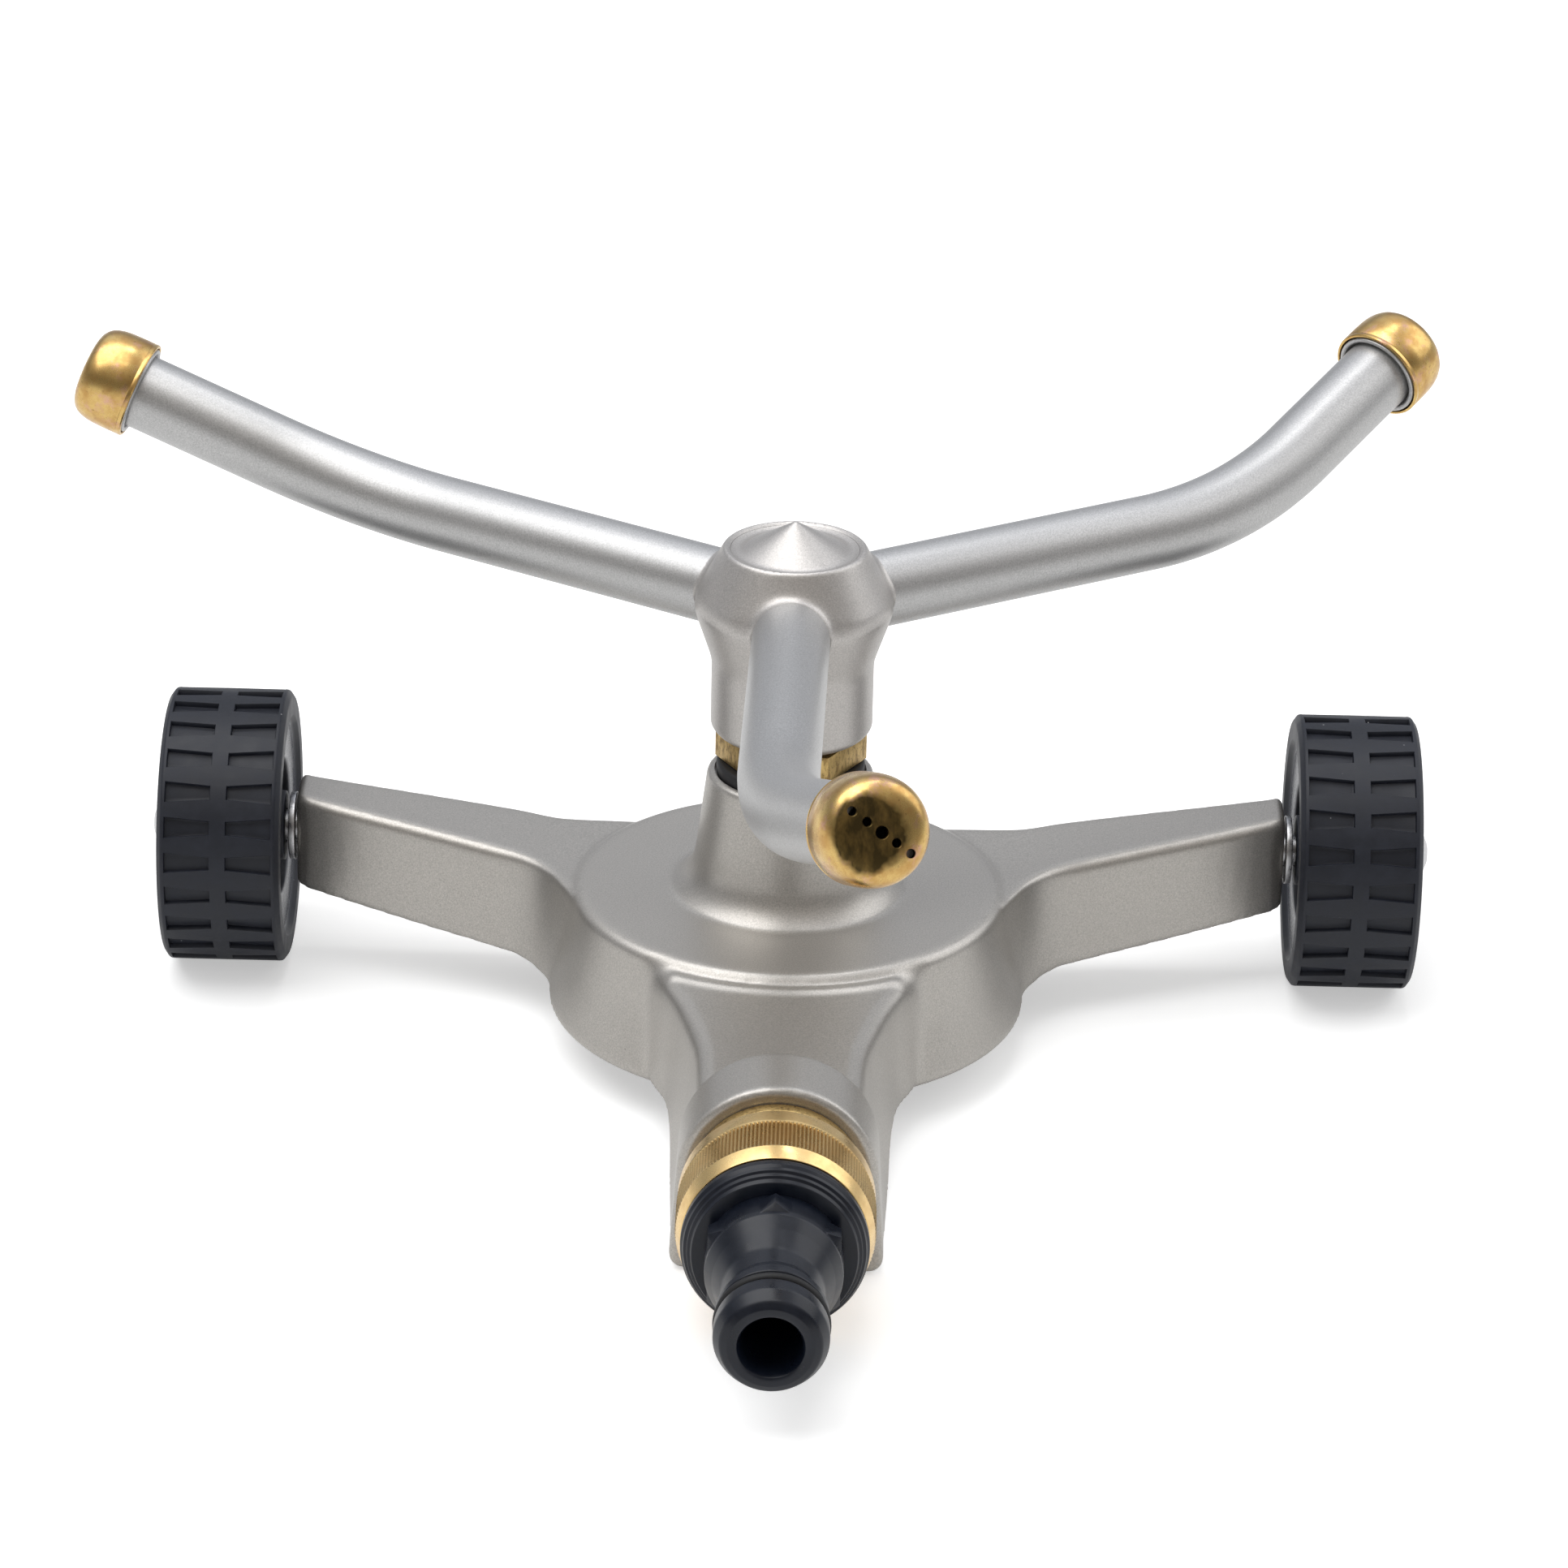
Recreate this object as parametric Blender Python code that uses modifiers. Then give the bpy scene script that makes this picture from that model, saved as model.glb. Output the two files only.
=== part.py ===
"""Rotary lawn sprinkler: three bent arms turn on a cast base with two wheels and a hose inlet.

Metres, +Z up, the hose inlet faces -Y. The part's origin is on the ground under the middle
of the whole object, and ROTOR_X, ROTOR_Y say where the upright rotor axis stands from it.
Heights, and the sizes of the base, are measured from the rotor axis on the ground.
"""
import math

import bmesh
import bpy
from mathutils import Matrix, Vector

MM = 0.001

# Where the rotor axis stands from the part's origin.
ROTOR_X = 5.6 * MM
ROTOR_Y = 24.7 * MM

# Clearances.
GAP = 0.3 * MM
SEAL_GAP = 0.2 * MM
EDGE = 1.2 * MM

# Driving dimensions of the cast base.
DISC_R = 33.9 * MM
DISC_TOP = 26.2 * MM
DISC_EDGE = 2.0 * MM
DISC_FOOT_R = 37.8 * MM
DISC_BOTTOM = 6.4 * MM
LEG_TOP = 24.5 * MM
LEG_HOLLOW_END = 66.0 * MM
BEAD_R = 36.2 * MM
BEAD_RISE = 0.5 * MM
BEAD_HALF = 19.4 * MM
WALL = 2.5 * MM
COLUMN_TOP = 45.9 * MM
COLUMN_TOP_R = 12.95 * MM
COLUMN_FOOT_R = 14.8 * MM
COLUMN_CORE_R = 9.6 * MM
CHANNEL_R = 7.4 * MM
WATER_R = 4.6 * MM
RIB = 2.0 * MM
LEG_END_X = 79.6 * MM

# Wheels and their axles.
WHEEL_R = 22.0 * MM
WHEEL_WIDTH = 19.5 * MM
WHEEL_X = 90.7 * MM
AXLE_Y = 26.0 * MM
AXLE_R = 2.5 * MM
LUGS = 24
LUG_DEPTH = 0.9 * MM
TREAD_BAND = 2.4 * MM
TREAD_EDGE = 0.2 * MM
DISH_R = 10.8 * MM
DISH_DEPTH = 5.4 * MM

# Inlet: everything lies on one axis along Y at this height.
INLET_Z = 15.3 * MM
BOSS_R = 14.9 * MM
BOSS_BACK = 65.8 * MM
BOSS_FRONT = 79.0 * MM
FOOT_HALF = 16.0 * MM
TAIL_R = 7.7 * MM
TAIL_BORE_R = 5.0 * MM
RING_R = 14.5 * MM
RING_BACK = BOSS_FRONT + 5.3 * MM
RING_FRONT = RING_BACK + 13.4 * MM
RING_THREAD_R = 12.9 * MM
SPIGOT_R = 8.2 * MM
SPIGOT_BORE_R = 4.5 * MM
SPIGOT_END = RING_FRONT + 30.5 * MM
HEX_FLATS = 20.0 * MM

# Spindle and hub.
COLLAR_R = 11.8 * MM
COLLAR_Z = (48.0 * MM, 52.3 * MM)
JOURNAL_R = 7.0 * MM
SPINDLE_BORE_R = 3.5 * MM
SPINDLE_Z = (30.0 * MM, 73.6 * MM)
HUB_RIM_R = 11.25 * MM
HUB_SHOULDER_R = 15.35 * MM
HUB_SKIRT_R = 12.6 * MM
HUB_Z = (52.9 * MM, 83.4 * MM)
CHAMBER_R = 8.9 * MM
CHAMBER_FLOOR = 65.8 * MM
O_RING_Z = (57.0 * MM, 62.2 * MM)
TOP_WASHER_Z = 66.9 * MM
NUT_Z = (67.8 * MM, 71.8 * MM)
CONE_R = 9.9 * MM
CONE_SEAT = 80.8 * MM
CONE_TOP = 87.4 * MM

# Arms: a straight run from the hub, a bend, and a straight end with a nozzle cap.
ARMS = (("front", -91.0), ("right", 29.4), ("left", 150.2))
ARM_R = 6.0 * MM
ARM_BORE_R = 4.9 * MM
ARM_Z = 73.3 * MM
ARM_RISE = math.radians(1.0)
ARM_START = 9.3 * MM
ARM_STRAIGHT = 63.8 * MM
ARM_BEND_R = 67.0 * MM
ARM_BEND = math.radians(28.0)
ARM_BEND_PLANE = math.radians(47.0)
ARM_END = 32.0 * MM
SOCKET_R = 7.3 * MM
CAP_R = 8.0 * MM
CAP_LENGTH = 9.4 * MM
CAP_FACE = 1.3 * MM
CAP_SKIN = 0.6 * MM
NOZZLE_PITCH = 2.55 * MM
NOZZLE_HOLES = (0.65 * MM, 0.65 * MM, 0.9 * MM, 0.65 * MM, 0.65 * MM)
NOZZLE_ROLL = math.radians(-39.0)

COLOURS = {
    "cast_metal": ((0.45, 0.43, 0.40), 0.38, 0.85),
    "hub_metal": ((0.46, 0.44, 0.42), 0.36, 0.85),
    "arm_metal": ((0.50, 0.48, 0.46), 0.34, 0.9),
    "brass": ((0.62, 0.40, 0.12), 0.28, 1.0),
    "spindle_brass": ((0.50, 0.36, 0.12), 0.4, 1.0),
    "steel": ((0.55, 0.55, 0.56), 0.3, 1.0),
    "black_plastic": ((0.022, 0.024, 0.032), 0.38, 0.0),
    "wheel_plastic": ((0.020, 0.022, 0.028), 0.55, 0.0),
    "black_rubber": ((0.012, 0.012, 0.013), 0.7, 0.0),
}


def clear_scene():
    for obj in list(bpy.data.objects):
        bpy.data.objects.remove(obj, do_unlink=True)


def make_collection(name, cutters=False):
    collection = bpy.data.collections.new(name)
    bpy.context.scene.collection.children.link(collection)
    collection.hide_render = cutters
    return collection


def make_material(name):
    colour, roughness, metallic = COLOURS[name]
    material = bpy.data.materials.new(name)
    material.use_nodes = True
    shader = material.node_tree.nodes["Principled BSDF"]
    shader.inputs["Base Color"].default_value = (*colour, 1.0)
    shader.inputs["Roughness"].default_value = roughness
    shader.inputs["Metallic"].default_value = metallic
    return material


def rotor_point(x=0.0, y=0.0, z=0.0):
    return Vector((ROTOR_X + x, ROTOR_Y + y, z))


def mesh_object(name, mesh, material=None):
    """A part when it has a material, otherwise a cutter, with its origin under the rotor."""
    obj = bpy.data.objects.new(name, mesh)
    obj.location = rotor_point()
    if material is None:
        CUTTERS.objects.link(obj)
        obj.hide_render = True
        obj.display_type = "WIRE"
    else:
        PART.objects.link(obj)
        mesh.materials.append(MATERIALS[material])
    return obj


def from_bmesh(name, bm, material=None):
    mesh = bpy.data.meshes.new(name)
    bm.to_mesh(mesh)
    bm.free()
    return mesh_object(name, mesh, material)


def profile_mesh(name, profile):
    """A closed outline of (radius, height) points for the Screw modifier."""
    verts = [(radius, 0.0, height) for radius, height in profile]
    edges = [(i, (i + 1) % len(verts)) for i in range(len(verts))]
    if profile[0][0] == 0.0 and profile[-1][0] == 0.0:
        edges.pop()
    mesh = bpy.data.meshes.new(name)
    mesh.from_pydata(verts, edges, [])
    return mesh


def turned(name, profile, steps, material=None):
    """Turn an outline about Z. It runs down the outer side, then up the inner side."""
    obj = mesh_object(name, profile_mesh(name, profile), material)
    screw = obj.modifiers.new("Turn", "SCREW")
    screw.axis = "Z"
    screw.angle = math.tau
    screw.steps = steps
    screw.render_steps = steps
    screw.use_merge_vertices = True
    screw.merge_threshold = 0.00001
    return obj


def o_ring(name, radius, section, steps=12, material="black_rubber", sides=5):
    points = []
    for i in range(sides):
        angle = -math.tau * (i + 0.5) / sides
        points.append((radius + section * math.cos(angle), section * math.sin(angle)))
    return turned(name, points, steps, material)


def realised(obj):
    """The object's mesh with its modifiers applied."""
    graph = bpy.context.evaluated_depsgraph_get()
    mesh = bpy.data.meshes.new_from_object(obj.evaluated_get(graph), depsgraph=graph)
    obj.modifiers.clear()
    obj.data = mesh
    return obj


def loft(name, sections, material=None):
    """Skin a row of point loops, closed at both ends."""
    bm = bmesh.new()
    loops = [[bm.verts.new(point) for point in section] for section in sections]
    count = len(loops[0])
    for near, far in zip(loops, loops[1:]):
        for i in range(count):
            j = (i + 1) % count
            bm.faces.new((near[i], near[j], far[j], far[i]))
    bm.faces.new(loops[0])
    bm.faces.new(loops[-1])
    bmesh.ops.recalc_face_normals(bm, faces=bm.faces[:])
    return from_bmesh(name, bm, material)


def cylinder(name, radius, start, end, steps, material=None, radius_end=None, spin=0.0):
    """A cylinder or cone between two points, turned about its own axis by an angle."""
    start = Vector(start)
    run = Vector(end) - start
    turn = Vector((0.0, 0.0, 1.0)).rotation_difference(run).to_matrix().to_4x4()
    turn = turn @ Matrix.Rotation(spin, 4, "Z")
    bm = bmesh.new()
    bmesh.ops.create_cone(
        bm,
        cap_ends=True,
        segments=steps,
        radius1=radius,
        radius2=radius if radius_end is None else radius_end,
        depth=run.length,
        matrix=Matrix.Translation(start + run / 2) @ turn,
    )
    return from_bmesh(name, bm, material)


def block(name, low, high, material=None, turn=0.0):
    """A box between two corners, turned about the rotor axis."""
    low = Vector(low)
    high = Vector(high)
    size = Matrix.Diagonal((*(high - low), 1.0))
    bm = bmesh.new()
    place = Matrix.Rotation(turn, 4, "Z") @ Matrix.Translation((low + high) / 2) @ size
    bmesh.ops.create_cube(bm, size=1.0, matrix=place)
    return from_bmesh(name, bm, material)


def combine(obj, other, operation="DIFFERENCE"):
    mod = obj.modifiers.new(other.name, "BOOLEAN")
    mod.operation = operation
    mod.solver = "EXACT"
    mod.object = other
    return obj


def joined(name, objects, material=None):
    """One object holding the separate shells of several, which are removed."""
    bm = bmesh.new()
    for obj in objects:
        bm.from_mesh(obj.data)
        bpy.data.objects.remove(obj, do_unlink=True)
    return from_bmesh(name, bm, material)


def soften(obj, angle=35.0):
    for polygon in obj.data.polygons:
        polygon.use_smooth = True
    obj.data.set_sharp_from_angle(angle=math.radians(angle))


def blend(low, high, amount):
    return low + (high - low) * amount


def leg_section(station, inset):
    """One slice of a side leg across X, as a loop of points in Y and Z."""
    x, front, rear, top, bottom, draft, rear_draft = [value * MM for value in station]
    front += inset
    rear -= inset
    top -= inset
    if inset:
        bottom -= 2.0 * MM
    edge = EDGE if not inset else EDGE / 2
    loop = [
        (front - draft, bottom),
        (front, top - edge),
        (front + 0.3 * edge, top - 0.3 * edge),
        (front + edge, top),
        (rear - edge, top),
        (rear - 0.3 * edge, top - 0.3 * edge),
        (rear, top - edge),
        (rear + rear_draft, bottom),
    ]
    return [(x, y, z) for y, z in loop]


# Slices of the right leg from the wheel inwards: x, front y, rear y, top, bottom, then how far
# the front and rear sides spread towards the bottom, all in millimetres.
SIDE_LEG = (
    (79.6, 21.0, 31.6, 29.3, 13.7, 0.5, 0.2),
    (70.0, 17.9, 30.5, 28.3, 12.2, 0.8, 0.4),
    (58.0, 14.1, 29.2, 27.1, 10.5, 1.3, 0.7),
    (48.0, 11.0, 28.2, 26.0, 9.2, 1.8, 1.0),
    (43.5, 9.0, 27.2, 25.7, 8.6, 2.3, 1.2),
    (40.0, 6.2, 26.1, 25.5, 8.0, 2.9, 1.4),
    (37.4, 2.6, 25.3, 25.4, 7.5, 3.4, 1.6),
    (35.2, -2.0, 25.0, 25.4, 7.1, 3.6, 1.8),
    (32.0, -7.0, 24.8, 25.4, 6.8, 3.6, 2.0),
    (20.0, -7.0, 24.4, 25.4, 6.8, 3.0, 2.0),
)


def side_leg(name, inset):
    stations = SIDE_LEG
    if inset:
        first = [blend(a, b, (SIDE_LEG[0][0] - LEG_HOLLOW_END / MM) / 9.6)
                 for a, b in zip(SIDE_LEG[0], SIDE_LEG[1])]
        stations = (first, *SIDE_LEG[2:])
    right = loft(name + "_right", [leg_section(station, inset) for station in stations])
    left = loft(name + "_left", [[(-x, y, z) for x, y, z in leg_section(station, inset)]
                                 for station in stations])
    return joined(name, (right, left))


# Slices of the front leg towards the inlet: distance in front of the rotor axis, half width of
# the top, bottom height and spread of each side towards the bottom, in millimetres.
FRONT_LEG = (
    (18.0, 19.0, 6.8, 1.6),
    (25.0, 21.2, 6.8, 1.6),
    (28.0, 20.6, 6.8, 1.6),
    (31.0, 19.3, 6.8, 1.7),
    (34.5, 18.0, 6.7, 1.7),
    (38.5, 16.6, 6.6, 1.5),
    (43.0, 15.2, 6.2, 2.1),
    (48.0, 13.9, 4.6, 3.0),
    (53.0, 12.9, 1.8, 3.8),
    (58.0, 12.4, 0.0, 4.1),
    (67.0, 12.1, 0.0, 4.0),
    (76.6, 12.0, 0.0, 3.8),
)


def front_leg(name, inset, last=None):
    sections = []
    for distance, half, bottom, spread in FRONT_LEG[:last]:
        y = -distance * MM
        half = half * MM - inset
        low = bottom * MM - (2.0 * MM if inset else 0.0)
        wide = half + spread * MM
        top = LEG_TOP - inset
        edge = EDGE
        sections.append([
            (-wide, y, low),
            (-half, y, top - edge),
            (-half + 0.3 * edge, y, top - 0.3 * edge),
            (-half + edge, y, top),
            (half - edge, y, top),
            (half - 0.3 * edge, y, top - 0.3 * edge),
            (half, y, top - edge),
            (wide, y, low),
        ])
    return loft(name, sections)


def tombstone(y, inset):
    """A slice of the inlet boss: an arch about the inlet axis that widens down to the foot."""
    radius = BOSS_R - inset
    half = FOOT_HALF - inset
    corner = 1.8 * MM
    loop = [(half, inset + corner), (half - 0.3 * corner, inset + 0.3 * corner),
            (half - corner, inset), (-half + corner, inset),
            (-half + 0.3 * corner, inset + 0.3 * corner), (-half, inset + corner)]
    steps = 10
    for i in range(steps + 1):
        angle = math.pi * (1.0 - i / steps)
        loop.append((radius * math.cos(angle), INLET_Z + radius * math.sin(angle)))
    return [(x, y, z) for x, z in loop]


def make_base():
    """The casting: disc, column, three legs and inlet boss, hollow below with ribs."""
    base = turned("base_casting", (
        (0.0, COLUMN_TOP),
        (COLUMN_TOP_R - 0.7 * MM, COLUMN_TOP),
        (COLUMN_TOP_R, COLUMN_TOP - 0.7 * MM),
        (COLUMN_FOOT_R, DISC_TOP + 5.2 * MM),
        (COLUMN_FOOT_R + 0.9 * MM, DISC_TOP + 2.2 * MM),
        (COLUMN_FOOT_R + 2.2 * MM, DISC_TOP + 0.7 * MM),
        (COLUMN_FOOT_R + 3.4 * MM, DISC_TOP),
        (DISC_R - DISC_EDGE, DISC_TOP),
        (DISC_R - 0.3 * DISC_EDGE, DISC_TOP - 0.3 * DISC_EDGE),
        (DISC_R, DISC_TOP - DISC_EDGE),
        (blend(DISC_R, DISC_FOOT_R, 0.42), blend(DISC_TOP, DISC_BOTTOM, 0.5)),
        (DISC_FOOT_R, DISC_BOTTOM),
        (0.0, DISC_BOTTOM),
    ), 36, "cast_metal")
    combine(base, side_leg("side_legs", 0.0), "UNION")
    combine(base, front_leg("front_leg_shell", 0.0), "UNION")
    bead_top = LEG_TOP + BEAD_RISE
    bead = cylinder("front_bead", BEAD_R, (0, 0, LEG_TOP - 1.5 * MM), (0, 0, bead_top), 36)
    sector = block("bead_sector", (-BEAD_HALF, -DISC_FOOT_R, LEG_TOP - 3.0 * MM),
                   (BEAD_HALF, -DISC_R / 2, bead_top + 1.0 * MM))
    combine(base, combine(bead, sector, "INTERSECT"), "UNION")
    boss = loft("inlet_boss", (
        tombstone(-BOSS_BACK, 2.4 * MM),
        tombstone(-BOSS_BACK - 1.6 * MM, 0.25 * MM),
        tombstone(-BOSS_FRONT + 1.2 * MM, 0.02 * MM),
        tombstone(-BOSS_FRONT + 0.3 * MM, 0.25 * MM),
        tombstone(-BOSS_FRONT, 0.8 * MM),
    ))
    combine(base, boss, "UNION")

    hollow = turned("hollow", (
        (0.0, DISC_TOP - WALL),
        (DISC_R - WALL - 0.6 * MM, DISC_TOP - WALL),
        (DISC_FOOT_R - WALL + 0.4 * MM, DISC_BOTTOM - 4.0 * MM),
        (0.0, DISC_BOTTOM - 4.0 * MM),
    ), 24)
    combine(hollow, front_leg("front_hollow", WALL, -2), "UNION")
    combine(hollow, side_leg("side_hollows", WALL), "UNION")
    combine(hollow, cylinder("column_core", COLUMN_CORE_R, (0, 0, DISC_BOTTOM + 0.9 * MM),
                             (0, 0, DISC_TOP + 5.0 * MM), 16))
    combine(hollow, cylinder(
        "water_channel", CHANNEL_R, (0, 0, INLET_Z), (0, -BOSS_FRONT, INLET_Z), 14))
    rib_low = DISC_BOTTOM + 1.4 * MM
    ribs = []
    for i, angle in enumerate((18.0, 162.0, 90.0, 212.0, 328.0)):
        ribs.append(block("rib_%d" % i, (4.0 * MM, -RIB / 2, rib_low),
                          (60.0 * MM, RIB / 2, DISC_TOP), turn=math.radians(angle)))
    combine(hollow, joined("ribs", ribs))
    crosses = []
    low = 11.8 * MM
    for i, x in enumerate((-53.0, 53.0)):
        crosses.append(block("cross_%d" % i, (x * MM - RIB / 2, -12.0 * MM, low),
                             (x * MM + RIB / 2, 36.0 * MM, DISC_TOP + 4.0 * MM)))
    combine(hollow, joined("cross_ribs", crosses))
    combine(base, hollow)

    waterway = cylinder("waterway", WATER_R, (0, -BOSS_FRONT - 2.0 * MM, INLET_Z),
                        (0, 3.4 * MM, INLET_Z), 12)
    combine(waterway, cylinder("riser", WATER_R - 0.4 * MM, (0, 0, INLET_Z - 1.3 * MM),
                               (0, 0, COLUMN_TOP), 12), "UNION")
    combine(base, waterway)
    combine(base, cylinder("inlet_thread", TAIL_R + GAP, (0, -BOSS_FRONT - 2.0 * MM, INLET_Z),
                           (0, -BOSS_BACK - 1.0 * MM, INLET_Z), 16))
    combine(base, cylinder("inlet_seat", TAIL_R + 2.2 * MM, (0, -BOSS_FRONT - 2.0 * MM, INLET_Z),
                           (0, -BOSS_FRONT + 1.9 * MM, INLET_Z), 16))
    combine(base, cylinder("spindle_thread", JOURNAL_R - 0.7 * MM, (0, 0, SPINDLE_Z[0] - 1.0 * MM),
                           (0, 0, COLUMN_TOP + 2.0 * MM), 16))
    combine(base, cylinder("seal_seat", COLLAR_R + 0.1 * MM, (0, 0, COLLAR_Z[0] - 3.0 * MM),
                           (0, 0, COLUMN_TOP + 2.0 * MM), 20))
    bores = []
    for side in (-1.0, 1.0):
        bores.append(cylinder("axle_bore_%d" % side, AXLE_R + GAP,
                              (side * (LEG_HOLLOW_END + 2.0 * MM), AXLE_Y, WHEEL_R),
                              (side * (LEG_END_X + 2.0 * MM), AXLE_Y, WHEEL_R), 12))
    combine(base, joined("axle_bores", bores))
    return base


def upright(obj, z=0.0):
    obj.location = rotor_point(z=z)
    return obj


def along_inlet(obj, distance=0.0):
    """Lay a piece turned about Z on the inlet axis: its +Z points out of the inlet, to -Y."""
    obj.rotation_euler = (math.radians(90.0), 0.0, 0.0)
    obj.location = rotor_point(y=-distance, z=INLET_Z)
    return obj


def on_axle(obj, side, distance):
    """Lay a piece turned about Z on an axle: its +Z points away from the casting."""
    obj.rotation_euler = (0.0, math.radians(90.0 * side), 0.0)
    obj.location = rotor_point(x=side * distance, y=AXLE_Y, z=WHEEL_R)
    return obj


def washer(name, inner, outer, thickness, steps, material):
    half = thickness / 2
    return turned(name, ((outer, half), (outer, -half), (inner, -half), (inner, half)),
                  steps, material)


def make_spindle():
    """Hollow spindle with two seal grooves above a hexagon collar."""
    low, high = SPINDLE_Z
    groove = JOURNAL_R - 1.4 * MM
    thread = JOURNAL_R - 2.0 * MM
    shank = JOURNAL_R - 1.0 * MM
    points = [
        (0.0, high),
        (thread - 0.4 * MM, high),
        (thread, high - 0.5 * MM),
        (thread, CHAMBER_FLOOR + 0.1 * MM),
        (JOURNAL_R, CHAMBER_FLOOR + 0.1 * MM),
    ]
    for middle in reversed(O_RING_Z):
        points += [
            (JOURNAL_R, middle + 1.0 * MM),
            (groove, middle + 1.0 * MM),
            (groove, middle - 1.0 * MM),
            (JOURNAL_R, middle - 1.0 * MM),
        ]
    points += [
        (JOURNAL_R, COLLAR_Z[0] + 1.0 * MM),
        (shank, COLLAR_Z[0] + 1.0 * MM),
        (shank, low),
        (0.0, low),
    ]
    spindle = upright(turned("spindle", points, 16, "spindle_brass"))
    combine(spindle, cylinder("collar_hexagon", COLLAR_R, (0, 0, COLLAR_Z[0]),
                              (0, 0, COLLAR_Z[1]), 6, spin=math.radians(30.0)), "UNION")
    combine(spindle, cylinder("spindle_bore", SPINDLE_BORE_R, (0, 0, low - 1.0 * MM),
                              (0, 0, high + 1.0 * MM), 12))


def make_base_trim():
    upright(washer("column_seal", JOURNAL_R - 0.7 * MM, COLLAR_R - 0.2 * MM, 2.4 * MM, 20,
                   "black_rubber"), COLLAR_Z[0] - 1.45 * MM)
    upright(washer("thrust_washer", JOURNAL_R + GAP, COLLAR_R - 2.0 * MM, 0.8 * MM, 16, "steel"),
            COLLAR_Z[1] + 0.6 * MM)
    for name, z in zip(("lower", "upper"), O_RING_Z):
        upright(o_ring("spindle_o_ring_" + name, JOURNAL_R - 0.5 * MM, 0.65 * MM), z)
    thread = JOURNAL_R - 2.0 * MM
    upright(washer("top_washer", thread + SEAL_GAP, CHAMBER_R - 0.6 * MM, 1.0 * MM, 16, "steel"),
            TOP_WASHER_Z)
    nut = cylinder("lock_nut", CHAMBER_R - 0.8 * MM, (0, 0, NUT_Z[0]), (0, 0, NUT_Z[1]), 6, "steel")
    combine(nut, cylinder("nut_bore", thread + SEAL_GAP, (0, 0, NUT_Z[0] - 1.0 * MM),
                          (0, 0, NUT_Z[1] + 1.0 * MM), 18))


def make_hub():
    low, high = HUB_Z
    bore = JOURNAL_R + GAP
    hub = upright(turned("hub", (
        (HUB_RIM_R - 0.5 * MM, high),
        (HUB_RIM_R, high - 0.5 * MM),
        (HUB_SHOULDER_R - 0.4 * MM, ARM_Z + 2.4 * MM),
        (HUB_SHOULDER_R, ARM_Z + 0.6 * MM),
        (HUB_SHOULDER_R - 0.4 * MM, ARM_Z - 1.6 * MM),
        (HUB_SKIRT_R + 0.5 * MM, ARM_Z - 7.0 * MM),
        (HUB_SKIRT_R, ARM_Z - 9.0 * MM),
        (HUB_SKIRT_R, low + 1.0 * MM),
        (HUB_SKIRT_R - 0.7 * MM, low),
        (COLLAR_R - 1.5 * MM, low),
        (COLLAR_R - 1.5 * MM, low + 1.2 * MM),
        (bore, low + 1.2 * MM),
        (bore, CHAMBER_FLOOR),
        (CHAMBER_R, CHAMBER_FLOOR),
        (CHAMBER_R, CONE_SEAT),
        (CONE_R + GAP, CONE_SEAT),
        (CONE_R + GAP, high - 1.0 * MM),
        (CONE_R + 0.5 * MM, high - 0.2 * MM),
        (CONE_R + 0.7 * MM, high),
    ), 24, "hub_metal"))
    sockets = []
    holes = []
    for name, azimuth in ARMS:
        out = Matrix.Rotation(math.radians(azimuth), 3, "Z") @ arm_frame()[0]
        centre = Vector((0.0, 0.0, ARM_Z))
        sockets.append(cylinder("socket_" + name, SOCKET_R + 0.8 * MM,
                                centre + out * (CONE_R + 1.0 * MM),
                                centre + out * (HUB_SHOULDER_R + 0.7 * MM), 12,
                                radius_end=ARM_R + 0.8 * MM))
        holes.append(cylinder("arm_hole_" + name, ARM_R + GAP, centre + out * 6.5 * MM,
                              centre + out * (HUB_SHOULDER_R + 4.0 * MM), 12))
    combine(hub, joined("arm_sockets", sockets), "UNION")
    combine(hub, joined("arm_holes", holes))
    upright(turned("hub_cap", (
        (0.0, CONE_TOP),
        (0.8 * MM, CONE_TOP - 0.4 * MM),
        (CONE_R, CONE_SEAT + 0.9 * MM),
        (CONE_R, CONE_SEAT + GAP),
        (0.0, CONE_SEAT + GAP),
    ), 24, "hub_metal"))


def arm_frame():
    """Directions of an arm at azimuth 0: its run, its bend, and the run after the bend."""
    run = Vector((math.cos(ARM_RISE), 0.0, math.sin(ARM_RISE)))
    across = Vector((0.0, 1.0, 0.0))
    bend = across * math.cos(ARM_BEND_PLANE) + run.cross(across) * math.sin(ARM_BEND_PLANE)
    out = run * math.cos(ARM_BEND) + bend * math.sin(ARM_BEND)
    return run, bend, out


def arm_path(start, short=0.0, steps=6):
    """Points on an arm's centre line, up to the cap face less the given length."""
    run, bend, out = arm_frame()
    origin = Vector((0.0, 0.0, ARM_Z))
    points = [origin + run * start]
    corner = origin + run * ARM_STRAIGHT
    for i in range(steps + 1):
        angle = ARM_BEND * i / steps
        points.append(corner + run * ARM_BEND_R * math.sin(angle)
                      + bend * ARM_BEND_R * (1.0 - math.cos(angle)))
    points.append(points[-1] + out * (ARM_END - short))
    return points


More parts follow.
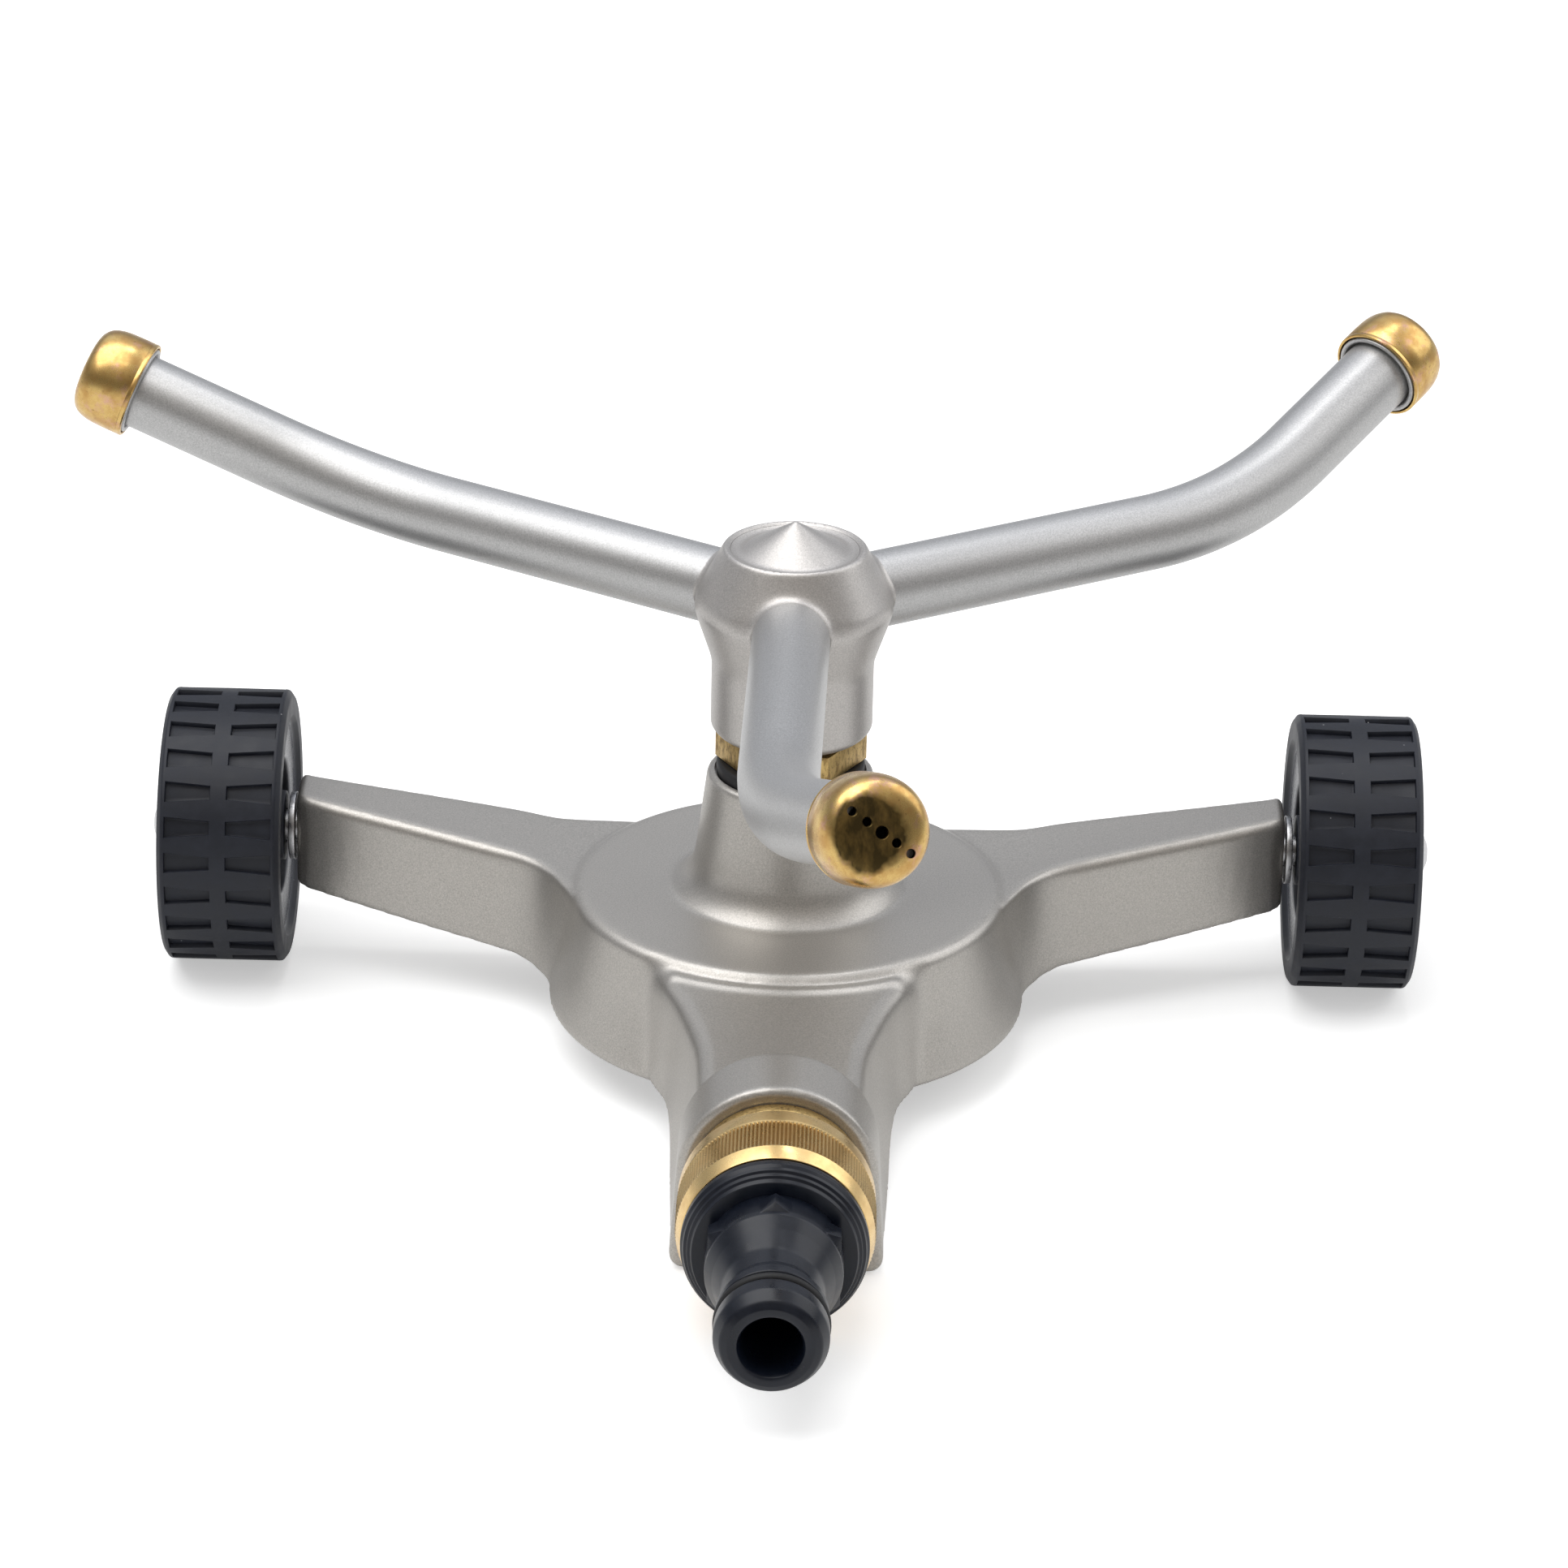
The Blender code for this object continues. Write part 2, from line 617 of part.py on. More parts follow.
def tube(name, points, radius, resolution, material=None):
    """A round bar along a line of points, as a mesh."""
    curve = bpy.data.curves.new(name, "CURVE")
    curve.dimensions = "3D"
    curve.bevel_depth = radius
    curve.bevel_resolution = resolution
    curve.use_fill_caps = True
    spline = curve.splines.new("POLY")
    spline.points.add(len(points) - 1)
    for target, point in zip(spline.points, points):
        target.co = (*point, 1.0)
    bar = bpy.data.objects.new(name + "_line", curve)
    CUTTERS.objects.link(bar)
    graph = bpy.context.evaluated_depsgraph_get()
    mesh = bpy.data.meshes.new_from_object(bar.evaluated_get(graph), depsgraph=graph)
    bpy.data.objects.remove(bar, do_unlink=True)
    bm = bmesh.new()
    bm.from_mesh(mesh)
    bmesh.ops.remove_doubles(bm, verts=bm.verts[:], dist=0.00001)
    bmesh.ops.recalc_face_normals(bm, faces=bm.faces[:])
    return from_bmesh(name, bm, material)


def make_arms():
    """Three alike arms, each with an end collar, a nozzle seal and a nozzle cap."""
    source = tube("arm_source", arm_path(ARM_START, CAP_FACE + 0.9 * MM), ARM_R, 6)
    bore = tube("arm_bore", arm_path(ARM_START - 2.0 * MM, -2.0 * MM, 4), ARM_BORE_R, 3)
    arm_mesh = realised(combine(source, bore)).data
    bpy.data.objects.remove(source, do_unlink=True)
    bpy.data.objects.remove(bore, do_unlink=True)
    arm_mesh.materials.append(MATERIALS["arm_metal"])

    run, bend, out = arm_frame()
    tip = arm_path(0.0)[-1]
    level = Vector((0.0, 0.0, 1.0)).cross(out).normalized()
    frame = Matrix((level, out.cross(level), out)).transposed().to_4x4()
    tip_frame = Matrix.Translation(tip) @ frame

    sleeve = ARM_R + GAP
    collar_back = CAP_LENGTH + GAP
    collar = profile_of("arm_collar", (
        (sleeve + 0.5 * MM, -4.6 * MM), (sleeve + 0.8 * MM, -CAP_LENGTH + 1.0 * MM),
        (sleeve + 0.8 * MM, -CAP_LENGTH + 0.2 * MM), (sleeve + 0.5 * MM, -collar_back),
        (sleeve, -collar_back), (sleeve, -4.6 * MM)), 16, "arm_metal")
    seal_points = []
    for i in range(5):
        angle = -math.tau * (i + 0.5) / 5
        seal_points.append((ARM_R + 0.75 * MM + 0.5 * MM * math.cos(angle),
                            -3.4 * MM + 0.5 * MM * math.sin(angle)))
    seal = profile_of("nozzle_o_ring", seal_points, 12, "black_rubber")
    inner = CAP_R - CAP_SKIN
    cap = profile_of("nozzle", (
        (0.0, 0.0),
        (CAP_R - 3.4 * MM, -0.1 * MM),
        (CAP_R - 1.7 * MM, -0.6 * MM),
        (CAP_R - 0.5 * MM, -1.8 * MM),
        (CAP_R, -3.6 * MM),
        (CAP_R, -CAP_LENGTH),
        (inner, -CAP_LENGTH),
        (inner, -CAP_FACE - 1.3 * MM),
        (inner - 1.2 * MM, -CAP_FACE),
        (0.0, -CAP_FACE),
    ), 18, "brass")
    drills = []
    for i, radius in enumerate(NOZZLE_HOLES):
        x = NOZZLE_PITCH * (i - 2) * math.cos(NOZZLE_ROLL)
        y = NOZZLE_PITCH * (i - 2) * math.sin(NOZZLE_ROLL)
        drills.append(cylinder("drill_%d" % i, radius, (x, y, -CAP_FACE - 1.0 * MM),
                               (x, y, 1.0 * MM), 6))
    drill = joined("nozzle_drill", drills)
    cap_mesh = realised(combine(cap, drill)).data
    bpy.data.objects.remove(drill, do_unlink=True)

    meshes = (("arm", arm_mesh, False), ("arm_collar", collar.data, True),
              ("nozzle_o_ring", seal.data, True), ("nozzle", cap_mesh, True))
    for obj in (collar, seal, cap):
        bpy.data.objects.remove(obj, do_unlink=True)
    for name, azimuth in ARMS:
        turn = Matrix.Rotation(math.radians(azimuth), 4, "Z")
        for kind, mesh, at_tip in meshes:
            obj = bpy.data.objects.new(kind + "_" + name, mesh)
            PART.objects.link(obj)
            place = turn @ tip_frame if at_tip else turn
            place = Matrix.Translation(rotor_point()) @ place
            obj.location = place.to_translation()
            obj.rotation_euler = place.to_euler()


def profile_of(name, profile, steps, material):
    """A turned piece with its modifier applied, to be shared by the three arms."""
    return realised(turned(name, profile, steps, material))


def make_inlet():
    """Tail, its seal, the swivel ring, the hose washer and the quick-connect adapter."""
    collar_front = RING_BACK + 5.4 * MM
    neck = TAIL_R + 1.3 * MM
    along_inlet(turned("inlet_tail", (
        (neck + 2.9 * MM, collar_front),
        (neck + 2.9 * MM, RING_BACK + 3.3 * MM),
        (neck, RING_BACK + 3.3 * MM),
        (neck, BOSS_FRONT + 3.0 * MM),
        (neck + 3.8 * MM, BOSS_FRONT + 3.0 * MM),
        (neck + 3.8 * MM, BOSS_FRONT + GAP),
        (TAIL_R, BOSS_FRONT + GAP),
        (TAIL_R, BOSS_BACK + 1.2 * MM),
        (TAIL_BORE_R, BOSS_BACK + 1.2 * MM),
        (TAIL_BORE_R, collar_front),
    ), 16, "spindle_brass"))
    along_inlet(o_ring("tail_o_ring", TAIL_R + 1.15 * MM, 0.8 * MM),
                BOSS_FRONT - 0.9 * MM)
    along_inlet(turned("swivel_ring", (
        (RING_THREAD_R, RING_FRONT),
        (RING_R - 1.0 * MM, RING_FRONT),
        (RING_R, RING_FRONT - 4.2 * MM),
        (RING_R, RING_BACK + 1.0 * MM),
        (RING_R - 0.8 * MM, RING_BACK),
        (neck + GAP, RING_BACK),
        (neck + GAP, RING_BACK + 3.0 * MM),
        (RING_THREAD_R, RING_BACK + 3.0 * MM),
    ), 24, "brass"))
    washer_y = collar_front + 1.3 * MM
    along_inlet(washer("hose_washer", SPIGOT_BORE_R + 1.5 * MM, RING_THREAD_R - 0.8 * MM,
                       2.0 * MM, 16, "black_rubber"), washer_y)
    back = washer_y + 1.3 * MM
    thread = RING_THREAD_R - GAP
    neck_r = SPIGOT_R - 1.3 * MM
    groove_r = SPIGOT_R - 1.7 * MM
    adapter = along_inlet(turned("hose_adapter", (
        (SPIGOT_BORE_R + 1.6 * MM, SPIGOT_END),
        (SPIGOT_R - 0.9 * MM, SPIGOT_END - 0.9 * MM),
        (SPIGOT_R, SPIGOT_END - 2.4 * MM),
        (SPIGOT_R, SPIGOT_END - 5.4 * MM),
        (groove_r, SPIGOT_END - 5.6 * MM),
        (groove_r, SPIGOT_END - 7.6 * MM),
        (SPIGOT_R - 0.1 * MM, SPIGOT_END - 7.8 * MM),
        (SPIGOT_R - 0.1 * MM, SPIGOT_END - 9.6 * MM),
        (neck_r, SPIGOT_END - 11.2 * MM),
        (neck_r + 2.9 * MM, SPIGOT_END - 19.0 * MM),
        (neck_r + 2.9 * MM, RING_FRONT + 4.6 * MM),
        (thread - 0.4 * MM, RING_FRONT + 4.4 * MM),
        (thread + 1.0 * MM, RING_FRONT + 2.6 * MM),
        (thread + 1.0 * MM, RING_FRONT + 0.4 * MM),
        (thread, RING_FRONT + 0.4 * MM),
        (thread, back),
        (SPIGOT_BORE_R + 1.5 * MM, back),
        (SPIGOT_BORE_R, back + 4.0 * MM),
        (SPIGOT_BORE_R, SPIGOT_END),
    ), 20, "black_plastic"))
    hexagon = along_inlet(cylinder("spanner_hexagon", HEX_FLATS / math.sqrt(3.0),
                                   (0, 0, RING_FRONT + 3.0 * MM), (0, 0, SPIGOT_END - 19.6 * MM), 6))
    hollow = along_inlet(cylinder("hexagon_bore", SPIGOT_BORE_R + 2.0 * MM,
                                  (0, 0, RING_FRONT), (0, 0, SPIGOT_END - 16.0 * MM), 12))
    combine(hexagon, hollow)
    combine(adapter, hexagon, "UNION")
    along_inlet(o_ring("adapter_o_ring", SPIGOT_R - 0.65 * MM, 0.75 * MM, 16),
                SPIGOT_END - 6.6 * MM)


def make_wheel(name):
    """Tread with a pocket in each facet on both sides of a plain band, dished sides, a hub."""
    half = WHEEL_WIDTH / 2
    hub = AXLE_R + 3.3 * MM
    outline = []
    for side in (1.0, -1.0):
        side_points = [
            (AXLE_R + GAP, side * (half - 0.7 * MM)),
            (hub, side * (half - 0.7 * MM)),
            (hub + 0.4 * MM, side * (half - DISH_DEPTH)),
            (DISH_R, side * (half - DISH_DEPTH)),
            (DISH_R + 0.2 * MM, side * (half - 1.5 * MM)),
            (WHEEL_R - 4.4 * MM, side * (half - 1.0 * MM)),
            (WHEEL_R - 3.6 * MM, side * half),
            (WHEEL_R - 1.0 * MM, side * half),
            (WHEEL_R, side * (half - 0.8 * MM)),
            (WHEEL_R, side * TREAD_BAND / 2),
        ]
        outline += side_points if side > 0 else reversed(side_points)
    wheel = realised(turned(name, outline, LUGS, "wheel_plastic"))
    bm = bmesh.new()
    bm.from_mesh(wheel.data)
    facets = []
    for face in bm.faces:
        centre = face.calc_center_median()
        wide = math.hypot(centre.x, centre.y)
        if wide > WHEEL_R - 1.0 * MM and TREAD_BAND < abs(centre.z) < half - 1.0 * MM:
            facets.append(face)
    bmesh.ops.inset_individual(bm, faces=facets, thickness=TREAD_EDGE, depth=0.0)
    for face in facets:
        narrow_pocket(face)
    bmesh.ops.inset_individual(bm, faces=facets, thickness=0.15 * MM, depth=-LUG_DEPTH)
    bm.to_mesh(wheel.data)
    bm.free()
    return wheel


def narrow_pocket(face):
    """Draw a pocket's ends together round the wheel, more near the plain band."""
    centre = face.calc_center_median()
    around = Vector((-centre.y, centre.x, 0.0)).normalized()
    for vert in face.verts:
        offset = (vert.co - centre).dot(around)
        outer = abs(vert.co.z) > abs(centre.z)
        vert.co -= around * offset * (0.33 if outer else 0.55)


def make_wheels():
    """Wheels, pins, spacer washers and push-on caps on both sides."""
    wheel_mesh = None
    for side, label in ((-1.0, "left"), (1.0, "right")):
        if wheel_mesh is None:
            wheel = make_wheel("wheel_" + label)
            wheel_mesh = wheel.data
        else:
            wheel = bpy.data.objects.new("wheel_" + label, wheel_mesh)
            PART.objects.link(wheel)
        on_axle(wheel, side, WHEEL_X)
        inner = WHEEL_X - WHEEL_WIDTH / 2
        outer = WHEEL_X + WHEEL_WIDTH / 2
        pin_end = outer + 0.9 * MM
        pin_start = LEG_HOLLOW_END + 2.4 * MM
        on_axle(turned("axle_" + label, (
            (0.0, pin_end - pin_start),
            (AXLE_R - 0.5 * MM, pin_end - pin_start),
            (AXLE_R, pin_end - pin_start - 0.6 * MM),
            (AXLE_R, 0.0),
            (0.0, 0.0),
        ), 12, "steel"), side, pin_start)
        middle = (LEG_END_X + inner + 0.7 * MM) / 2
        on_axle(washer("axle_washer_" + label, AXLE_R + GAP, AXLE_R + 3.0 * MM, 1.1 * MM, 12,
                       "steel"), side, middle)
        cap_start = outer - 0.7 * MM + GAP
        on_axle(turned("axle_cap_" + label, (
            (0.0, 3.0 * MM),
            (2.2 * MM, 2.9 * MM),
            (3.6 * MM, 2.0 * MM),
            (4.4 * MM, 0.0),
            (AXLE_R + SEAL_GAP, 0.0),
            (AXLE_R + SEAL_GAP, pin_end - cap_start + SEAL_GAP),
            (0.0, pin_end - cap_start + SEAL_GAP),
        ), 12, "steel"), side, cap_start)


clear_scene()
MATERIALS = {name: make_material(name) for name in COLOURS}
PART = make_collection("rotary_sprinkler")
CUTTERS = make_collection("cutters", cutters=True)

make_base()
make_spindle()
make_base_trim()
make_hub()
make_arms()
make_inlet()
make_wheels()

for part_object in PART.objects:
    soften(part_object)
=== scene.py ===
"""Rotary lawn sprinkler: the fine model, laid out as an add-on and run as a script.

Sizes are in millimetres through MM. Heights and the sizes of the base are measured from the
rotor axis on the ground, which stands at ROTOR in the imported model's frame.
"""
import math

import bmesh
import bpy
from bpy.props import FloatProperty, FloatVectorProperty, IntProperty, PointerProperty
from bpy.types import Operator, Panel, PropertyGroup
from mathutils import Matrix, Vector


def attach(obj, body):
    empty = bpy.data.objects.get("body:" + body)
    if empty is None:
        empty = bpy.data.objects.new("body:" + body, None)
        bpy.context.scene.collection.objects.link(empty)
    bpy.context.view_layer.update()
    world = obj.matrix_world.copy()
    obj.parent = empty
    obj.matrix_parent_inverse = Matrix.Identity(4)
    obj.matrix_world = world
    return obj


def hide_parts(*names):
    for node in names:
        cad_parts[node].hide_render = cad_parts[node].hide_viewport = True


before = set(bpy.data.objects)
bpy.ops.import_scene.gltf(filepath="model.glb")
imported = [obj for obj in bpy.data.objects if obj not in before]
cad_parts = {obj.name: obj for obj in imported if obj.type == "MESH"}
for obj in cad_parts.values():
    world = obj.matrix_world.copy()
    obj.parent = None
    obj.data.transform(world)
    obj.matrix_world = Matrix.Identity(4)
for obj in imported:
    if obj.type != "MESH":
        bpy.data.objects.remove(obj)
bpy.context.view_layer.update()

bl_info = {
    "name": "Rotary lawn sprinkler",
    "version": (1, 0, 0),
    "blender": (4, 5, 0),
    "location": "3D View > Sidebar > Sprinkler",
    "description": "Models a cast rotary lawn sprinkler piece by piece on its packed frame",
    "category": "Object",
}

FINISHES = {}
MM = 0.001
ROTOR = Vector((5.6 * MM, 24.7 * MM, 0.0))
SIDES = (("left", -1.0), ("right", 1.0))
ARMS = (("front", -91.0), ("right", 29.4), ("left", 150.2))
ARM_RISE = math.radians(1.0)
ARM_BEND = math.radians(28.0)
CORNER_STEPS = 5

# Places and sizes that more than one piece or finish needs, in mm.
ARM_Z = 73.3
AXLE_Y = 26.0
AXLE_Z = 22.0
WHEEL_X = 90.7
TREAD_RADIUS = 22.0
WALL = 2.5
INLET_Z = 15.3
RING_RADIUS = 14.5
KNURL_START = 87.8
KNURL_END = 94.7

# The camera's sensor in mm, and the photograph's width and focal length in pixels.
SENSOR_WIDTH = 36.0
PHOTO_WIDTH = 1932.0
FOCAL_PIXELS = 7200.0


# Placing, drawing and joining.

def pick(*pieces):
    """Object mode with only these pieces selected, the first one active."""
    active = bpy.context.view_layer.objects.active
    if active is not None and active.mode != "OBJECT":
        bpy.ops.object.mode_set(mode="OBJECT")
    bpy.ops.object.select_all(action="DESELECT")
    for piece in pieces:
        piece.select_set(True)
    if pieces:
        bpy.context.view_layer.objects.active = pieces[0]


def upright():
    """+Z of a piece stands on the rotor axis."""
    return Matrix.Translation(ROTOR)


def along_inlet():
    """+Z of a piece points out of the inlet, to -Y."""
    centre = ROTOR + Vector((0.0, 0.0, INLET_Z * MM))
    return Matrix.Translation(centre) @ Matrix.Rotation(math.radians(90.0), 4, "X")


def on_axle(side):
    """+Z of a piece points away from the casting."""
    centre = ROTOR + Vector((0.0, AXLE_Y * MM, AXLE_Z * MM))
    return Matrix.Translation(centre) @ Matrix.Rotation(math.radians(90.0 * side), 4, "Y")


def settle(piece, place=None):
    """Put a piece at its place and write the place into its mesh."""
    if place is not None:
        piece.matrix_world = place @ piece.matrix_world
    pick(piece)
    bpy.ops.object.transform_apply(location=True, rotation=True, scale=True)
    return piece


def rounded(outline):
    """The outline's points, each corner that has a third number rounded to that radius."""
    points = []
    count = len(outline)
    for i, corner in enumerate(outline):
        here = Vector(corner[:2])
        radius = corner[2] if len(corner) > 2 else 0.0
        if not radius:
            points.append(tuple(here))
            continue
        to_last = Vector(outline[i - 1][:2]) - here
        to_next = Vector(outline[(i + 1) % count][:2]) - here
        half = to_last.angle(to_next) / 2
        reach = min(radius / math.tan(half), 0.49 * to_last.length, 0.49 * to_next.length)
        radius = reach * math.tan(half)
        to_last.normalize()
        to_next.normalize()
        centre = here + (to_last + to_next).normalized() * radius / math.sin(half)
        first = (here + to_last * reach - centre).normalized()
        last = (here + to_next * reach - centre).normalized()
        turn = first.angle(last)
        for k in range(CORNER_STEPS + 1):
            near = math.sin(turn * (1 - k / CORNER_STEPS)) / math.sin(turn)
            far = math.sin(turn * k / CORNER_STEPS) / math.sin(turn)
            points.append(tuple(centre + (first * near + last * far) * radius))
    return points


def select_verts(piece, test):
    """In edit mode, select only the points that pass the test."""
    bm = bmesh.from_edit_mesh(piece.data)
    for vert in bm.verts:
        vert.select_set(test(vert))
    bm.select_flush_mode()
    bmesh.update_edit_mesh(piece.data)


def close_mesh():
    """Merge doubles, point every face outwards and leave edit mode."""
    bpy.ops.mesh.select_all(action="SELECT")
    bpy.ops.mesh.remove_doubles(threshold=0.001 * MM)
    bpy.ops.mesh.normals_make_consistent(inside=False)
    bpy.ops.object.mode_set(mode="OBJECT")


def drawn_line(points):
    """A line of points drawn vertex by vertex; edit mode stays on."""
    pick()
    bpy.ops.mesh.primitive_plane_add(size=MM)
    bpy.ops.object.mode_set(mode="EDIT")
    bpy.ops.mesh.merge(type="CENTER")
    bpy.ops.transform.translate(value=points[0])
    for near, far in zip(points, points[1:]):
        step = tuple(b - a for a, b in zip(near, far))
        bpy.ops.mesh.extrude_vertices_move(TRANSFORM_OT_translate={"value": step})
    return bpy.context.object


def turned(name, outline, steps, place=None):
    """Spin an outline of (radius, height) points about Z. It closes unless it starts and ends
    on the axis."""
    outline = rounded(outline)
    piece = drawn_line([(r * MM, 0.0, z * MM) for r, z in outline])
    piece.name = name
    if outline[0][0] or outline[-1][0]:
        select_verts(piece, lambda vert: len(vert.link_edges) == 1)
        bpy.ops.mesh.edge_face_add()
    bpy.ops.mesh.select_all(action="SELECT")
    bpy.ops.mesh.spin(steps=steps, angle=math.tau, center=(0, 0, 0), axis=(0, 0, 1))
    close_mesh()
    return settle(piece, place)


def lofted(name, sections):
    """Extrude a ring of points from one section to the next, closed at both ends."""
    count = len(sections[0])
    pick()
    bpy.ops.mesh.primitive_circle_add(vertices=count, radius=MM)
    piece = bpy.context.object
    piece.name = name
    bpy.ops.object.mode_set(mode="EDIT")
    bpy.ops.mesh.edge_face_add()
    for number, section in enumerate(sections):
        if number:
            bpy.ops.mesh.select_all(action="DESELECT")
            bm = bmesh.from_edit_mesh(piece.data)
            bm.verts.ensure_lookup_table()
            for vert in bm.verts[-count:]:
                vert.select_set(True)
            bm.select_flush_mode()
            bmesh.update_edit_mesh(piece.data)
            bpy.ops.mesh.extrude_edges_move()
        bm = bmesh.from_edit_mesh(piece.data)
        bm.verts.ensure_lookup_table()
        for vert, point in zip(bm.verts[-count:], section):
            vert.co = Vector(point) * MM
        bmesh.update_edit_mesh(piece.data)
    bpy.ops.mesh.edge_face_add()
    close_mesh()
    return piece


def tube(points, radius, resolution, taper=None):
    """A round bar along a line of points in mm; the taper gives each its share of the radius."""
    pick()
    bpy.ops.curve.primitive_nurbs_path_add()
    piece = bpy.context.object
    curve = piece.data
    curve.splines.clear()
    spline = curve.splines.new("POLY")
    spline.points.add(len(points) - 1)
    for target, point in zip(spline.points, points):
        target.co = (*(point * MM), 1.0)
    for target, share in zip(spline.points, taper or ()):
        target.radius = share
    curve.bevel_depth = radius * MM
    curve.bevel_resolution = resolution
    curve.use_fill_caps = True
    bpy.ops.object.convert(target="MESH")
    bpy.ops.object.mode_set(mode="EDIT")
    close_mesh()
    return piece


def rod(radius, start, end, sides=48):
    """A round bar between two points, for unions and drilled holes."""
    start = Vector(start) * MM
    run = Vector(end) * MM - start
    pick()
    bpy.ops.mesh.primitive_cylinder_add(
        vertices=sides, radius=radius * MM, depth=run.length, location=start + run / 2,
        rotation=run.to_track_quat("Z", "Y").to_euler())
    return settle(bpy.context.object)


def bar(low, high, turn=0.0):
    """A block between two corners, turned about the rotor axis."""
    low = Vector(low) * MM
    high = Vector(high) * MM
    pick()
    bpy.ops.mesh.primitive_cube_add(size=1.0, location=(low + high) / 2, scale=high - low)
    return settle(bpy.context.object, Matrix.Rotation(math.radians(turn), 4, "Z"))


def modify(piece, kind, **settings):
    pick(piece)
    change = piece.modifiers.new(kind, kind)
    for name, value in settings.items():
        setattr(change, name, value)
    bpy.ops.object.modifier_apply(modifier=change.name)


def combine(piece, other, operation="DIFFERENCE"):
    modify(piece, "BOOLEAN", object=other, operation=operation, solver="EXACT")
    bpy.data.objects.remove(other, do_unlink=True)


def bevel(piece, width, angle):
    """Round the edges that turn by more than an angle in degrees."""
    modify(piece, "BEVEL", width=width * MM, segments=2, limit_method="ANGLE",
           angle_limit=math.radians(angle))


def joined(pieces):
    pick(*pieces)
    bpy.ops.object.join()
    return pieces[0]


def cast_skin(piece, grain, passes):
    """Close unions into one skin of small faces, then soften it as a coat of paint does."""
    modify(piece, "REMESH", mode="VOXEL", voxel_size=grain * MM, adaptivity=0.0)
    modify(piece, "SMOOTH", factor=0.5, iterations=passes)


def fade(value, low, high):
    """0 at low and 1 at high with a soft step between; low may be the larger."""
    t = min(1.0, max(0.0, (value - low) / (high - low)))
    return t * t * (3.0 - 2.0 * t)


def soften(piece, passes, weight):
    """Smooth a piece where a weight painted by place, in mm, is above 0."""
    group = piece.vertex_groups.new(name="soft")
    for vert in piece.data.vertices:
        amount = weight(*(vert.co / MM))
        if amount > 0.01:
            group.add([vert.index], amount, "REPLACE")
    modify(piece, "SMOOTH", vertex_group="soft", factor=0.5, iterations=passes)
    piece.vertex_groups.remove(piece.vertex_groups["soft"])


def smooth(piece, angle=35.0):
    pick(piece)
    bpy.ops.object.shade_smooth_by_angle(angle=math.radians(angle))
    return piece


def dress(piece, finish, body, node):
    """Give a piece its finish and its body, and let it stand for its node."""
    piece.data.materials.clear()
    piece.data.materials.append(FINISHES[finish])
    piece.name = node + "_fine"
    piece.data.name = piece.name
    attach(piece, body)
    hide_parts(node)


def twin(piece, place):
    """A copy with its own mesh, moved to another place."""
    other = piece.copy()
    other.data = piece.data.copy()
    bpy.context.scene.collection.objects.link(other)
    return settle(other, place)


# Finishes.

class Nodes:
    """Short ways to add nodes to a shader tree and to link them."""

    def __init__(self, tree):
        self.tree = tree

    def set(self, node, inputs):
        for key, value in inputs.items():
            if isinstance(value, bpy.types.NodeSocket):
                self.tree.links.new(value, node.inputs[key])
            else:
                node.inputs[key].default_value = value

    def add(self, kind, inputs=None, **settings):
        node = self.tree.nodes.new(kind)
        for key, value in settings.items():
            setattr(node, key, value)
        self.set(node, inputs or {})
        return node

    def levels(self, value, low, high, to_low=0.0, to_high=1.0, curve="LINEAR"):
        """Bring a value that runs from low to high into another range."""
        return self.add("ShaderNodeMapRange", {
            "Value": value, "From Min": low, "From Max": high, "To Min": to_low,
            "To Max": to_high}, interpolation_type=curve).outputs["Result"]

    def both(self, kind, first, second):
        return self.add("ShaderNodeMath", {0: first, 1: second}, operation=kind).outputs[0]

    def mix(self, amount, under, over):
        """A number that is over where amount is 1."""
        return self.add("ShaderNodeMix", {0: amount, 2: under, 3: over}).outputs[0]

    def tint(self, amount, under, over):
        """A colour that is over where amount is 1."""
        node = self.add("ShaderNodeMix", {0: amount}, data_type="RGBA")
        for key, value in ((6, under), (7, over)):
            self.set(node, {key: (*value, 1.0) if isinstance(value, tuple) else value})
        return node.outputs[2]

    def reach(self, place, centre, across):
        """Distance of a place from an axis through the centre; across is 0 along the axis."""
        off = self.add("ShaderNodeVectorMath", {0: place, 1: centre}, operation="SUBTRACT")
        off = self.add("ShaderNodeVectorMath", {0: off.outputs[0], 1: across},
                       operation="MULTIPLY")
        off = self.add("ShaderNodeVectorMath", {0: off.outputs[0]}, operation="LENGTH")
        return off.outputs["Value"]


